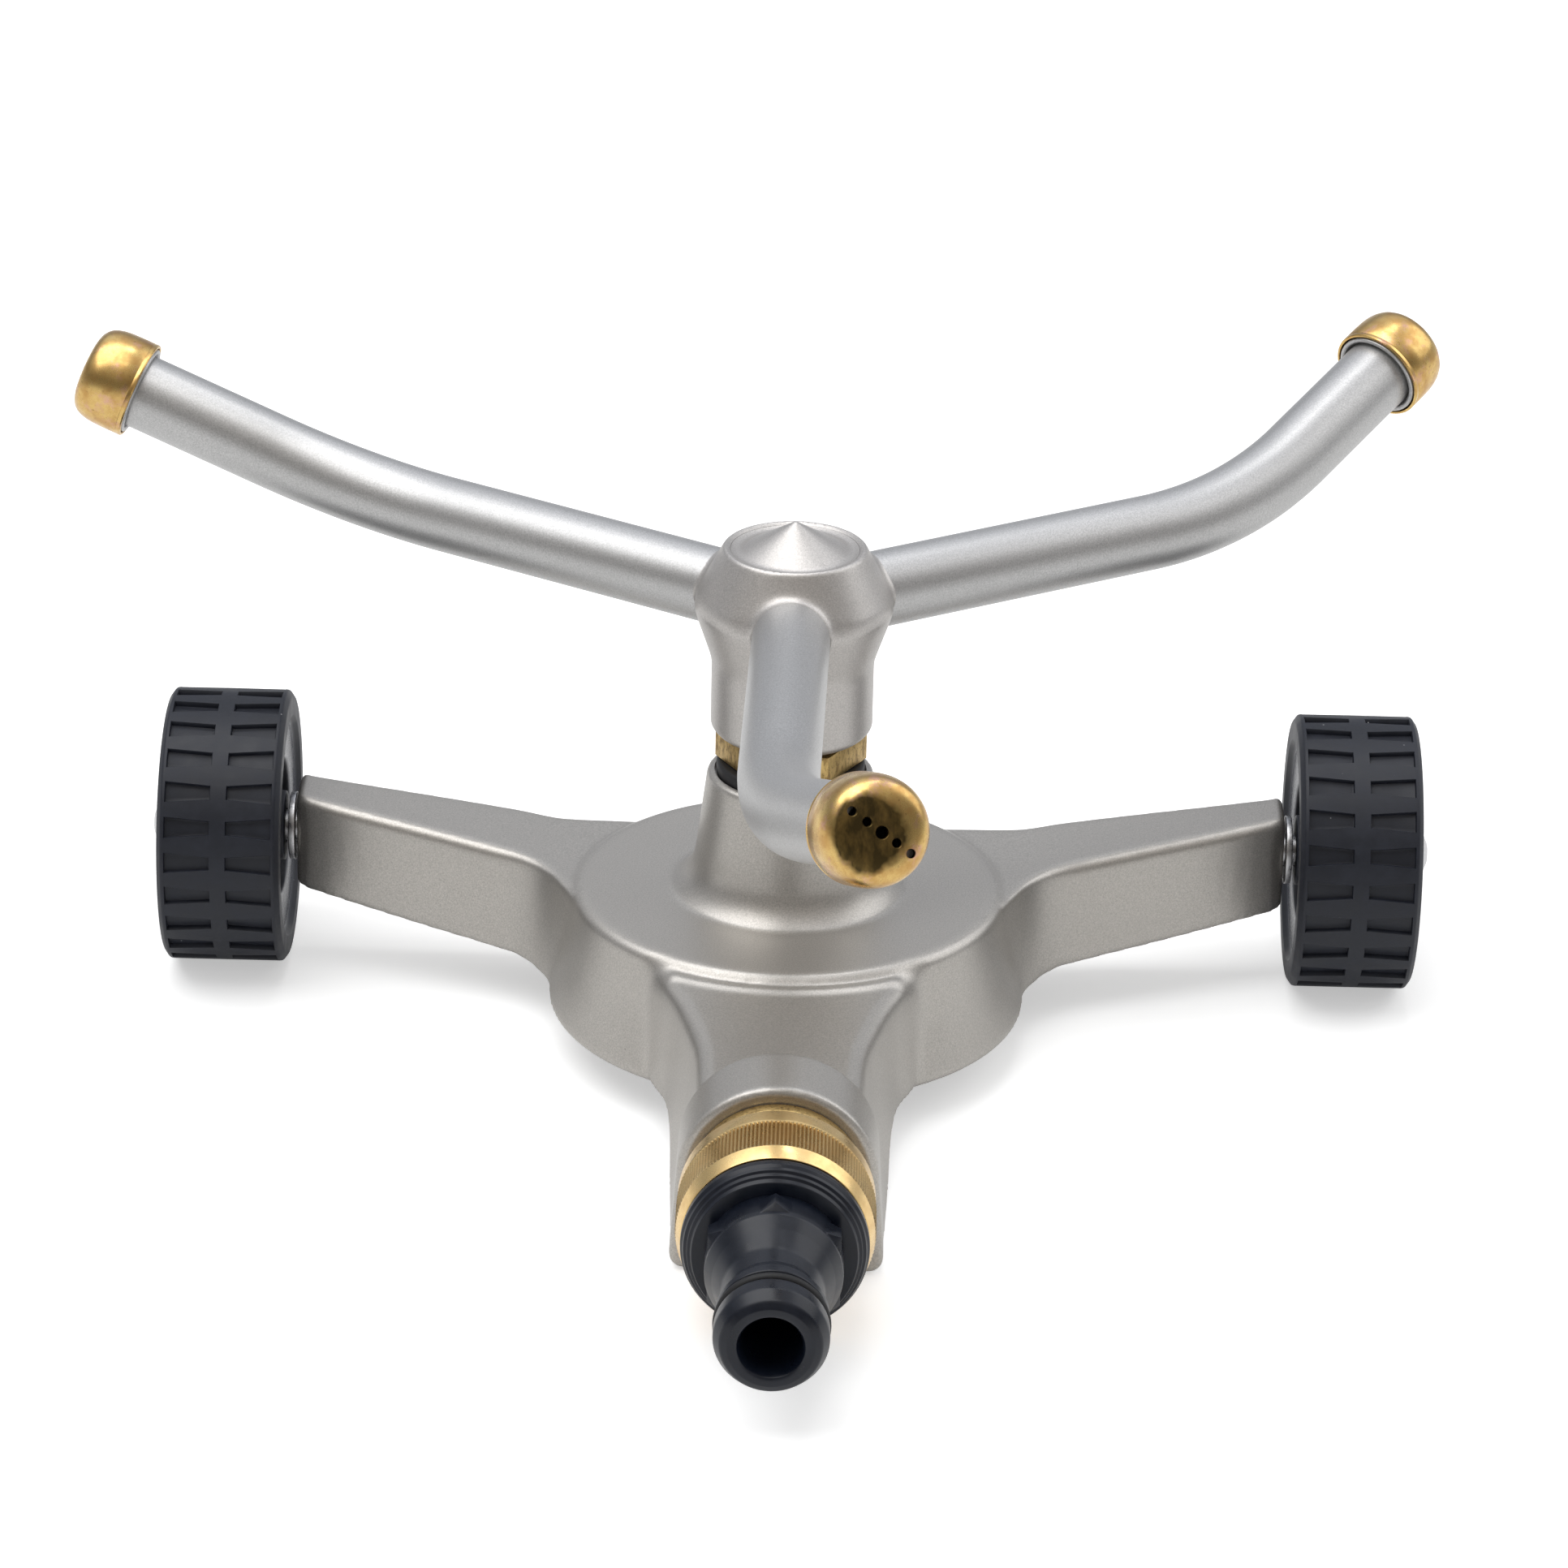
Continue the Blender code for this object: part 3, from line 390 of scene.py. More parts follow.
class Finish(Nodes):
    """A material whose nodes read the piece's own Object coordinates."""

    def __init__(self, name, colour, roughness, metallic=0.0, specular=0.5):
        self.material = bpy.data.materials.new(name)
        self.material.use_nodes = True
        super().__init__(self.material.node_tree)
        self.shader = self.tree.nodes["Principled BSDF"]
        self.set(self.shader, {"Base Color": (*colour, 1.0), "Roughness": roughness,
                               "Metallic": metallic, "Specular IOR Level": specular})
        self.place = self.add("ShaderNodeTexCoord").outputs["Object"]
        FINISHES[name] = self.material

    def stretched(self, scale):
        return self.add("ShaderNodeMapping", {"Vector": self.place, "Scale": scale}).outputs[0]

    def noise(self, size, detail=2.0, rough=0.5, place=None):
        """Soft patches about as wide as the size in mm, from 0 to 1."""
        return self.add("ShaderNodeTexNoise", {
            "Vector": place or self.place, "Scale": 1.0 / (size * MM), "Detail": detail,
            "Roughness": rough}).outputs["Fac"]

    def dots(self, apart, core, rim, amount=1.0):
        """Dots about as far apart as the first number in mm; core and rim are shares of it."""
        cells = self.add("ShaderNodeTexVoronoi", {
            "Vector": self.place, "Scale": 1.0 / (apart * MM)})
        return self.levels(cells.outputs["Distance"], core, rim, amount, 0.0)

    def bump(self, height, depth, strength=1.0, under=None):
        """Relief as deep as depth in mm."""
        node = self.add("ShaderNodeBump", {"Height": height, "Strength": strength,
                                           "Distance": depth * MM})
        if under is not None:
            self.set(node, {"Normal": under})
        return node.outputs[0]

    def wear(self, colour, roughness, normal):
        self.set(self.shader, {"Base Color": colour, "Roughness": roughness, "Normal": normal})


def make_finishes(colours):
    """All finishes of the sprinkler, named for what they cover."""
    coated_metal("cast coat", tuple(colours.casting), 0.40, 0.78, 0.0022)
    coated_metal("hub coat", tuple(colours.hub), 0.40, 0.78, 0.0018)
    coated_metal("satin tube", tuple(colours.tubes), 0.41, 0.84, 0.0012)
    cap_brass(tuple(colours.brass))
    turned_brass(tuple(colours.ring_brass))
    worn_brass(tuple(colours.worn_brass))
    zinc_plate()
    black_finish("black fitting", tuple(colours.fitting), 0.30, 0.003, 6.5)
    black_finish("black rubber", (0.010, 0.010, 0.011), 0.55, 0.010, 9.0)
    wheel_plastic(tuple(colours.wheels))


def coated_metal(name, colour, roughness, metallic, grain):
    """Satin coat over cast metal: fine metallic speckle, faint patches, pits and dust."""
    finish = Finish(name, colour, roughness, metallic)
    dark, light, dull = (tuple(min(1.0, value * share) for value in colour)
                         for share in (0.80, 1.20, 0.93))
    speckle = finish.levels(finish.noise(0.22, 3.0, 0.6), 0.32, 0.68)
    patches = finish.levels(finish.noise(16.0, 3.0), 0.3, 0.7, 0.0, 0.3)
    tone = finish.tint(patches, finish.tint(speckle, dark, light), dull)
    few = finish.levels(finish.noise(12.0, 1.0), 0.52, 0.56)
    pits = finish.both("MULTIPLY", finish.dots(8.0, 0.010, 0.018), few)
    tone = finish.tint(finish.both("MULTIPLY", pits, 0.6), tone, (0.12, 0.11, 0.10))
    tone = finish.tint(finish.dots(11.0, 0.009, 0.016, 0.7), tone, (0.82, 0.82, 0.82))
    shine = finish.levels(finish.noise(0.3, 2.0), 0.3, 0.7, roughness - 0.04, roughness + 0.04)
    relief = finish.bump(finish.noise(0.24, 2.0), grain * 1.5)
    relief = finish.bump(finish.noise(2.6, 2.0), grain * 2.4, 0.5, relief)
    relief = finish.bump(finish.both("SUBTRACT", 1.0, pits), 0.05, 0.8, relief)
    finish.wear(tone, shine, relief)


def cap_brass(brass):
    """Polished brass with brown stains, a dark olive patch on the face that is a painted
    reflection, and holes darkened with painted shade.
    """
    finish = Finish("cap brass", brass, 0.2, 1.0)
    place = finish.add("ShaderNodeAttribute", attribute_name="place").outputs["Vector"]
    haze = finish.noise(2.4, 4.0, 0.62)
    tone = finish.tint(finish.levels(haze, 0.38, 0.64, 0.0, 0.8), brass, (0.48, 0.27, 0.09))
    stains = finish.levels(finish.noise(3.6, 4.0, 0.7), 0.54, 0.68, 0.0, 0.8)
    tone = finish.tint(stains, tone, (0.62, 0.36, 0.27))
    spots = finish.levels(finish.noise(0.7, 3.0, 0.6), 0.62, 0.72, 0.0, 0.6)
    tone = finish.tint(spots, tone, (0.30, 0.17, 0.07))

    depth = finish.add("ShaderNodeSeparateXYZ", {0: place}).outputs["Z"]
    # Painted reflection: a dark olive patch left of the middle of the face, drawn ragged and
    # streaked, and made a little rougher.
    ragged = finish.levels(finish.noise(2.2, 2.0, 0.5), 0.3, 0.7, -0.5, 0.5)
    rim = finish.both("ADD", finish.reach(place, (-2.0, 0.0, 0.0), (1.0, 1.0, 0.0)), ragged)
    patch = finish.both("MULTIPLY", finish.levels(rim, 4.7, 5.9, 0.97, 0.0),
                        finish.levels(depth, -1.5, -0.8))
    streaks = finish.noise(1.5, 3.0, 0.6, finish.stretched((1.0, 1.0, 0.4)))
    olive_painted_reflection = finish.tint(finish.levels(streaks, 0.42, 0.72), (0.050, 0.036, 0.014),
                        (0.17, 0.11, 0.035))
    tone = finish.tint(patch, tone, olive_painted_reflection)

    # Painted shade: the walls of the drilled holes are painted near black, and made rougher.
    inside = finish.levels(finish.reach(place, (0.0, 0.0, 0.0), (1.0, 1.0, 0.0)), 6.05, 6.15,
                           1.0, 0.0)
    holes = finish.both("MULTIPLY", inside, finish.levels(depth, -0.88, -0.68, 1.0, 0.0))
    tone = finish.tint(holes, tone, (0.012, 0.010, 0.008))
    shine = finish.levels(haze, 0.3, 0.7, 0.22, 0.34)
    shine = finish.levels(finish.both("ADD", finish.both("MULTIPLY", patch, 0.16), shine),
                          0.0, 1.0)
    shine = finish.both("MAXIMUM", shine, finish.both("MULTIPLY", holes, 0.8))
    lines = finish.noise(0.5, 3.0, 0.6, finish.stretched((1.0, 1.0, 9.0)))
    finish.wear(tone, shine, finish.bump(lines, 0.004, 0.5))


def turned_brass(brass):
    """Brass with a dull haze, fine turned rings, and painted shade in the grooves between the
    knurl's teeth.
    """
    finish = Finish("turned brass", brass, 0.28, 1.0)
    haze = finish.noise(2.6, 4.0, 0.6)
    tone = finish.tint(finish.levels(haze, 0.40, 0.74, 0.0, 0.7), brass, (0.68, 0.44, 0.18))
    freckles = finish.levels(finish.noise(0.35, 2.0), 0.58, 0.76, 0.0, 0.3)
    tone = finish.tint(freckles, tone, (0.50, 0.31, 0.12))
    along = finish.add("ShaderNodeSeparateXYZ", {0: finish.place}).outputs["Y"]
    soft = 0.1
    after = finish.levels(along, ROTOR.y - (KNURL_START - soft) * MM,
                          ROTOR.y - (KNURL_START + soft) * MM)
    before = finish.levels(along, ROTOR.y - (KNURL_END + soft) * MM,
                           ROTOR.y - (KNURL_END - soft) * MM)
    # Painted shade: the floors of the knurl's grooves are painted dark brown.
    reach = finish.reach(finish.place, (ROTOR.x, 0.0, INLET_Z * MM), (1.0, 0.0, 1.0))
    grooves = finish.levels(reach, (RING_RADIUS - 0.28) * MM, (RING_RADIUS - 0.04) * MM,
                            0.6, 0.08)
    grooves = finish.both("MULTIPLY", grooves, finish.both("MULTIPLY", after, before))
    tone = finish.tint(grooves, tone, (0.26, 0.15, 0.055))
    rings = finish.noise(0.35, 3.0, 0.6, finish.stretched((0.12, 1.0, 0.12)))
    finish.wear(tone, finish.levels(haze, 0.3, 0.7, 0.22, 0.36), finish.bump(rings, 0.006, 0.6))


def worn_brass(brass):
    """Brass with brown scuffs, dark spots and fine upright scratches."""
    finish = Finish("worn brass", brass, 0.38, 1.0)
    scuffs = finish.noise(0.9, 5.0, 0.7, finish.stretched((1.0, 1.0, 0.35)))
    tone = finish.tint(finish.levels(scuffs, 0.45, 0.65), brass, (0.26, 0.16, 0.06))
    spots = finish.levels(finish.noise(0.4, 2.0), 0.6, 0.72, 0.0, 0.7)
    tone = finish.tint(spots, tone, (0.10, 0.07, 0.04))
    scratches = finish.noise(0.16, 2.0, 0.5, finish.stretched((1.0, 1.0, 0.08)))
    finish.wear(tone, finish.levels(scuffs, 0.3, 0.7, 0.28, 0.5),
                finish.bump(scratches, 0.012, 0.7))


def zinc_plate():
    """Bright zinc on steel, with a faint spangle."""
    finish = Finish("zinc plate", (0.55, 0.55, 0.56), 0.3, 1.0)
    spangle = finish.noise(1.2, 3.0, 0.6)
    tone = finish.tint(spangle, (0.44, 0.44, 0.45), (0.66, 0.66, 0.67))
    finish.wear(tone, finish.levels(spangle, 0.3, 0.7, 0.22, 0.4),
                finish.bump(finish.noise(0.3, 2.0), 0.004, 0.5))


def rubbed(finish, colour, rub, lift):
    """Moulded black with greyish rub marks, lighter by the lift."""
    grey = tuple(value * 1.7 + lift for value in colour)
    return finish.tint(finish.levels(rub, 0.45, 0.75, 0.0, 0.6), colour, grey)


def black_finish(name, colour, roughness, grain, dust_size):
    """Moulded black: fine grain, greyish rub marks and grains of dust."""
    finish = Finish(name, colour, roughness, specular=0.36)
    rub = finish.noise(4.0, 4.0, 0.65)
    tone = rubbed(finish, colour, rub, 0.003)
    tone = finish.tint(finish.dots(dust_size, 0.008, 0.018, 0.8), tone, (0.4, 0.4, 0.4))
    shine = finish.levels(rub, 0.3, 0.7, roughness - 0.05, roughness + 0.08)
    finish.wear(tone, shine, finish.bump(finish.noise(0.25, 2.0), grain, 0.8))


def wheel_plastic(colour):
    """Matt moulded tread, and a shinier ring round the dish of each side, also painted lighter and
    bluish as a painted sheen.
    """
    finish = Finish("wheel plastic", colour, 0.5, specular=0.4)
    rub = finish.noise(4.5, 4.0, 0.65)
    tone = rubbed(finish, colour, rub, 0.004)
    few = finish.levels(finish.noise(9.0, 2.0), 0.46, 0.56)
    dust = finish.both("MULTIPLY", finish.dots(3.6, 0.022, 0.046, 0.9), few)
    tone = finish.tint(dust, tone, (0.36, 0.37, 0.38))
    axle = (0.0, ROTOR.y + AXLE_Y * MM, AXLE_Z * MM)
    reach = finish.reach(finish.place, axle, (0.0, 1.0, 1.0))
    sheen_band = finish.both("MULTIPLY", finish.levels(reach, 10.9 * MM, 11.3 * MM),
                       finish.levels(reach, 16.8 * MM, 17.3 * MM, 1.0, 0.0))
    # Painted sheen: the shiny ring is painted lighter and bluish as well as made less rough.
    tone = finish.tint(finish.both("MULTIPLY", sheen_band, 0.8), tone, (0.055, 0.060, 0.078))
    shine = finish.levels(rub, 0.3, 0.7, 0.44, 0.58)
    shine = finish.both("SUBTRACT", shine, finish.both("MULTIPLY", sheen_band, 0.26))
    finish.wear(tone, shine, finish.bump(finish.noise(0.3, 2.0), 0.010, 0.8))


# The cast base.

# The front leg's top, the radii of the legs' upper and lower edges, how far out their hollows
# reach, and how far below them these are cut.
FRONT_LEG_TOP = 24.5
FRONT_LEG_EDGE = 2.6
SIDE_LEG_EDGE = 1.9
FOOT_EDGE = 0.6
FRONT_HOLLOW_END = 63.0
SIDE_HOLLOW_END = 67.0
CUT_BELOW = 3.0

# Slices of the right leg from the wheel inwards: x, front y, rear y, top, bottom, then how far
# the front and rear sides spread towards the bottom.
SIDE_LEG = (
    (79.6, 21.0, 31.6, 29.3, 13.7, 0.5, 0.2),
    (70.0, 17.9, 30.5, 28.3, 12.2, 0.8, 0.4),
    (58.0, 14.1, 29.2, 27.1, 10.5, 1.3, 0.7),
    (48.0, 11.0, 28.2, 26.0, 9.2, 1.8, 1.0),
    (43.5, 9.0, 27.2, 25.7, 8.6, 2.3, 1.2),
    (40.0, 6.2, 26.1, 25.5, 8.0, 2.9, 1.4),
    (37.4, 2.6, 25.3, 25.4, 7.5, 3.4, 1.6),
    (35.2, -2.0, 25.0, 25.4, 7.1, 3.6, 1.8),
    (32.0, -7.0, 24.8, 25.4, 6.8, 3.6, 2.0),
    (20.0, -7.0, 24.4, 25.4, 6.8, 3.0, 2.0),
)

# Slices of the front leg towards the inlet: distance from the rotor axis, half width of the
# top, bottom height and how far each side spreads towards the bottom.
FRONT_LEG = (
    (18.0, 19.0, 6.8, 1.6),
    (25.0, 21.2, 6.8, 1.6),
    (28.0, 20.6, 6.8, 1.6),
    (31.0, 19.3, 6.8, 1.7),
    (34.5, 18.0, 6.7, 1.7),
    (38.5, 16.6, 6.6, 1.5),
    (43.0, 15.2, 6.2, 2.1),
    (48.0, 13.9, 4.6, 3.0),
    (53.0, 12.9, 1.8, 3.8),
    (58.0, 12.4, 0.0, 4.1),
    (67.0, 12.1, 0.0, 4.0),
    (76.6, 12.0, 0.0, 3.8),
)


def flowing(table):
    """The rows of a table with three smooth rows drawn between each two."""
    between = 4
    rows = []
    last = len(table) - 1
    for i in range(last):
        ends = (table[max(i - 1, 0)], table[i], table[i + 1], table[min(i + 2, last)])
        for k in range(between):
            t = k / between
            row = []
            for a, b, c, d in zip(*ends):
                row.append(0.5 * (2 * b + (c - a) * t + (2 * a - 5 * b + 4 * c - d) * t * t
                                  + (3 * b - a - 3 * c + d) * t ** 3))
            rows.append(row)
    rows.append(list(table[-1]))
    return rows


def rounded_end(rows):
    """The outermost row drawn in by steps, so that the leg's end has a rounded rim."""
    x, front, rear, top, bottom, draft, rear_draft = rows[0]
    ends = []
    for back, inset in ((0.0, 0.9), (0.12, 0.45), (0.45, 0.12), (0.9, 0.0)):
        ends.append((x - back, front + inset, rear - inset, top - inset, bottom + inset,
                     draft, rear_draft))
    return ends + rows[1:]


def side_leg(side, wall=0.0):
    """A wheel leg, or with a wall the hollow inside it."""
    sections = []
    for x, front, rear, top, bottom, draft, rear_draft in rounded_end(flowing(SIDE_LEG)):
        if wall and x > SIDE_HOLLOW_END:
            continue
        low = bottom - (CUT_BELOW if wall else 0.0)
        front += wall
        rear -= wall
        top -= wall
        loop = rounded(((front - draft, low, FOOT_EDGE), (front, top, SIDE_LEG_EDGE),
                        (rear, top, SIDE_LEG_EDGE), (rear + rear_draft, low, FOOT_EDGE)))
        sections.append([(side * x, y, z) for y, z in loop])
    return lofted("side_leg", sections)


def front_leg(wall=0.0):
    """The leg to the inlet, or with a wall the hollow inside it."""
    sections = []
    top = FRONT_LEG_TOP - wall
    for distance, half, bottom, spread in flowing(FRONT_LEG):
        if wall and distance > FRONT_HOLLOW_END:
            continue
        low = max(bottom, 0.0) - (CUT_BELOW if wall else 0.0)
        half -= wall
        loop = rounded(((-half - spread, low, FOOT_EDGE), (-half, top, FRONT_LEG_EDGE),
                        (half, top, FRONT_LEG_EDGE), (half + spread, low, FOOT_EDGE)))
        sections.append([(x, -distance, z) for x, z in loop])
    return lofted("front_leg", sections)


def front_bead():
    """The second bead, round the disc above the front leg; it thins and sinks in at both ends."""
    half_steps = 20
    sink_from = 28.5
    end = 35.2
    points = []
    taper = []
    for i in range(2 * half_steps + 1):
        turn = (i - half_steps) / half_steps * end
        angle = math.radians(turn - 90.0)
        sunk = fade(abs(turn), sink_from, end)
        reach = 35.5 - 1.8 * sunk
        points.append(Vector((reach * math.cos(angle), reach * math.sin(angle),
                              24.0 - 0.5 * sunk)))
        taper.append(1.0 - 0.65 * sunk)
    return tube(points, 1.15, 8, taper)


def inlet_boss():
    """An arch about the inlet axis that widens down to the foot, with rounded rims."""
    arch_steps = 40
    foot_corner = 2.2
    rims = ((66.7, 0.55), (66.75, 0.25), (66.95, 0.06), (67.6, 0.0), (77.9, 0.0),
            (78.45, 0.08), (78.8, 0.3), (78.95, 0.6), (79.0, 1.0))
    sections = []
    for distance, inset in rims:
        radius = 14.9 - inset
        half = 16.0 - inset
        loop = []
        for i in range(arch_steps + 1):
            angle = math.pi * i / arch_steps
            loop.append((radius * math.cos(angle), INLET_Z + radius * math.sin(angle)))
        foot = rounded(((-radius, INLET_Z - 1.0), (-half, inset, foot_corner),
                        (half, inset, foot_corner), (radius, INLET_Z - 1.0)))
        loop += foot[1:-1]
        sections.append([(x, -distance, z) for x, z in loop])
    return lofted("inlet_boss", sections)


def beside_legs(x, y, z):
    """Weight of the upright hollows where the legs leave the disc's skirt."""
    reach = math.hypot(x, y)
    ring = fade(reach, 31.0, 34.0) * fade(reach, 48.0, 42.0)
    lift = 1.3 * fade(y, -31.0, -28.0)
    return ring * fade(z, 7.6, 9.6) * fade(z, 23.4 + lift, 21.6 + lift)


def bead_run(x, y, z):
    """Weight of the second bead and the groove above it."""
    reach = math.hypot(x, y)
    return fade(reach, 33.4, 34.6) * fade(reach, 38.0, 36.6) * fade(z, 21.8, 22.8) * fade(
        y, -25.0, -27.5)


def bead_ends(x, y, z):
    """Weight of the two places where the bead runs into the edges of the front leg."""
    reach = math.dist((abs(x), y, z), (20.0, -29.4, 23.6))
    return fade(reach, 4.6, 1.8)


def base_hollow():
    """The room under the disc and in the legs, around the pillar, the waterway and the ribs,
    and the bores for the axles."""
    hollow = turned("hollow", ((0.0, 23.7), (30.8, 23.7, 2.0), (35.7, 2.4), (0.0, 2.4)), 96)
    for part in (front_leg(WALL), side_leg(-1.0, WALL), side_leg(1.0, WALL)):
        combine(hollow, part, "UNION")
    pillar = rod(9.6, (0, 0, 7.3), (0, 0, 31.2))
    pipe = rod(7.4, (0, 0, INLET_Z), (0, -79, INLET_Z))
    disc_ribs = [bar((4, -1, 7.8), (60, 1, 26.2), turn)
                 for turn in (18.0, 162.0, 90.0, 212.0, 328.0)]
    leg_ribs = [bar((x - 1, -12, 11.8), (x + 1, 36, 30.2)) for x in (-53.0, 53.0)]
    for solid in (pillar, pipe, *disc_ribs, *leg_ribs):
        combine(hollow, solid)
    for _, side in SIDES:
        axle_bore = rod(2.8, (side * 64, AXLE_Y, AXLE_Z), (side * 81.6, AXLE_Y, AXLE_Z))
        combine(hollow, axle_bore, "UNION")
    return hollow


def waterway():
    """The bores from the inlet to the spindle, with the seats of the tail and the spindle."""
    outside = (0, -81, INLET_Z)
    bores = rod(4.6, outside, (0, 3.4, INLET_Z))
    riser = rod(4.2, (0, 0, 14.0), (0, 0, 47.0), 96)
    tail_thread = rod(8.0, outside, (0, -66.8, INLET_Z), 96)
    tail_seal_seat = rod(9.9, outside, (0, -77.1, INLET_Z), 96)
    spindle_thread = rod(6.3, (0, 0, 29.0), (0, 0, 49.0), 96)
    column_seal_seat = rod(11.9, (0, 0, 45.0), (0, 0, 49.0), 96)
    for bore in (riser, tail_thread, tail_seal_seat, spindle_thread, column_seal_seat):
        combine(bores, bore, "UNION")
    return bores


def cast_base(sizes):
    base = turned("base_shell", (
        (0.0, 45.9), (12.95, 45.9, 0.8), (14.7, 31.9), (14.95, 30.7), (15.35, 29.6),
        (15.95, 28.5), (16.75, 27.5), (17.6, 26.75), (18.35, 26.2), (33.9, 26.2, 2.0),
        (35.54, 16.3), (37.8, 6.4, 0.8), (0.0, 6.4)), 144)
    for part in (side_leg(-1.0), side_leg(1.0), front_leg(), front_bead(), inlet_boss()):
        combine(base, part, "UNION")
    cast_skin(base, sizes.grain / MM, 3)
    soften(base, 76, beside_legs)
    soften(base, 7, bead_run)
    soften(base, 36, bead_ends)
    combine(base, joined((base_hollow(), waterway())))
    smooth(settle(base, upright()), 40.0)
    dress(base, "cast coat", "base", "base_casting")


# Spindle, seals and hub.

def hexagon(corner, low, high):
    """A prism of six sides with corners on the X axis."""
    pick()
    bpy.ops.mesh.primitive_cylinder_add(
        vertices=6, radius=corner * MM, depth=(high - low) * MM,
        location=(0, 0, (high + low) / 2 * MM), rotation=(0, 0, math.radians(30.0)))
    return settle(bpy.context.object)


def spindle():
    piece = turned("spindle", (
        (4.6, 73.6), (5.0, 73.1), (5.0, 65.9), (7.0, 65.9), (7.0, 63.2), (5.6, 63.2),
        (5.6, 61.2), (7.0, 61.2), (7.0, 58.0), (5.6, 58.0), (5.6, 56.0), (7.0, 56.0),
        (7.0, 49.0), (6.0, 49.0), (6.0, 30.0), (3.5, 30.0), (3.5, 73.6)), 96)
    combine(piece, hexagon(11.8, 48.0, 52.3), "UNION")
    combine(piece, rod(3.5, (0, 0, 29.0), (0, 0, 75.0), 96))
    bevel(piece, 0.18, 50.0)
    smooth(settle(piece, upright()))
    dress(piece, "worn brass", "base", "spindle")


def column_seal():
    piece = turned("seal", ((6.3, 47.75), (11.6, 47.75, 0.7), (11.6, 45.35, 0.3),
                            (6.3, 45.35)), 96)
    smooth(settle(piece, upright()))
    dress(piece, "black rubber", "base", "column_seal")


def arm_run(azimuth):
    """An arm's straight direction out of the hub, which rises a little."""
    angle = math.radians(azimuth)
    return Vector((math.cos(angle) * math.cos(ARM_RISE), math.sin(angle) * math.cos(ARM_RISE),
                   math.sin(ARM_RISE)))


def arm_rods(radius, start, end, sides):
    """A round bar along each arm's root, between two distances from the rotor axis."""
    centre = Vector((0.0, 0.0, ARM_Z))
    for _, azimuth in ARMS:
        run = arm_run(azimuth)
        yield rod(radius, centre + run * start, centre + run * end, sides)


def arm_roots(x, y, z):
    """Weight of the hollows above the arms, where they leave the hub."""
    most = 0.0
    for _, azimuth in ARMS:
        run = arm_run(azimuth)
        point = Vector((x, y, z - ARM_Z))
        along = point.dot(run)
        off = (point - run * along).length
        near = fade(along, 8.5, 10.5) * fade(off, 9.7, 8.3) * fade(z, 73.0, 75.2)
        most = max(most, near)
    return most


def hub(sizes):
    body = turned("hub_body", (
        (0.0, 82.6), (9.6, 82.6), (10.0, 82.86), (10.4, 83.14), (10.75, 83.24), (11.08, 83.06),
        (11.35, 82.6), (14.95, 75.7), (15.25, 74.8), (15.4, 73.6), (15.3, 73.0), (14.95, 71.8),
        (13.1, 66.4), (12.75, 65.2), (12.6, 64.1), (12.6, 53.9, 0.9), (11.7, 52.9, 0.5),
        (0.0, 52.9)), 144)
    for socket in arm_rods(5.96, 5.0, 17.0, 96):
        combine(body, socket, "UNION")
    cast_skin(body, sizes.hub_grain / MM, 4)
    soften(body, 110, arm_roots)
    hollow = turned("chamber", (
        (0.0, 85.0), (9.98, 85.0), (9.98, 80.9, 0.3), (8.9, 80.9), (8.9, 65.8), (7.3, 65.8),
        (7.3, 54.1), (10.3, 54.1), (10.3, 51.0), (0.0, 51.0)), 144)
    for bore in arm_rods(5.5, 6.5, 20.0, 64):
        combine(hollow, bore, "UNION")
    combine(body, hollow)
    smooth(settle(body, upright()), 40.0)
    dress(body, "hub coat", "rotor", "hub")


def hub_cone():
    cone = turned("cone", (
        (0.0, 87.4), (0.35, 87.3), (0.8, 87.02), (7.9, 82.85), (8.4, 82.6), (8.9, 82.5),
        (9.4, 82.58), (9.94, 82.84), (9.94, 81.1), (0.0, 81.1)), 144)
    smooth(settle(cone, upright()), 50.0)
    dress(cone, "hub coat", "rotor", "hub_cap")


# Arms and nozzle caps.

def arm_frame():
    """Directions of an arm at azimuth 0: its run, where it bends to, and its run after that."""
    bend_plane = math.radians(47.0)
    run = arm_run(0.0)
    across = Vector((0.0, 1.0, 0.0))
    side = across * math.cos(bend_plane) + run.cross(across) * math.sin(bend_plane)
    out = run * math.cos(ARM_BEND) + side * math.sin(ARM_BEND)
    return run, side, out


def arm_line(short):
    """Points along the middle of an arm at azimuth 0; it ends short of the cap's face."""
    root = 9.3
    bend_start = 63.8
    bend_radius = 67.0
    bend_steps = 28
    after_bend = 32.0
    run, side, out = arm_frame()
    centre = Vector((0.0, 0.0, ARM_Z))
    points = [centre + run * root]
    corner = centre + run * bend_start
    for i in range(bend_steps + 1):
        angle = ARM_BEND * i / bend_steps
        points.append(corner + run * bend_radius * math.sin(angle)
                      + side * bend_radius * (1.0 - math.cos(angle)))
    points.append(points[-1] + out * (after_bend - short))
    return points


def tip_place():
    """+Z of a piece points out of the nozzle at azimuth 0."""
    out = arm_frame()[2]
    tip = arm_line(0.0)[-1] * MM
    level = Vector((0.0, 0.0, 1.0)).cross(out).normalized()
    axes = Matrix((level, out.cross(level), out)).transposed().to_4x4()
    return Matrix.Translation(tip) @ axes


def three_round(piece, place, finish, body, node):
    """One piece becomes three round the rotor, each with its own mesh. The names of body and
    node take the arm's name in their braces."""
    for name, azimuth in ARMS:
        turn = upright() @ Matrix.Rotation(math.radians(azimuth), 4, "Z") @ place
        dress(twin(piece, turn), finish, body.format(name), node.format(name))
    bpy.data.objects.remove(piece, do_unlink=True)


def arm_tubes():
    piece = tube(arm_line(2.2), 6.0, 22)
    combine(piece, rod(4.8, arm_line(26.0)[-1], arm_line(1.0)[-1], 64))
    three_round(smooth(piece, 30.0), Matrix(), "satin tube", "rotor", "arm_{}")


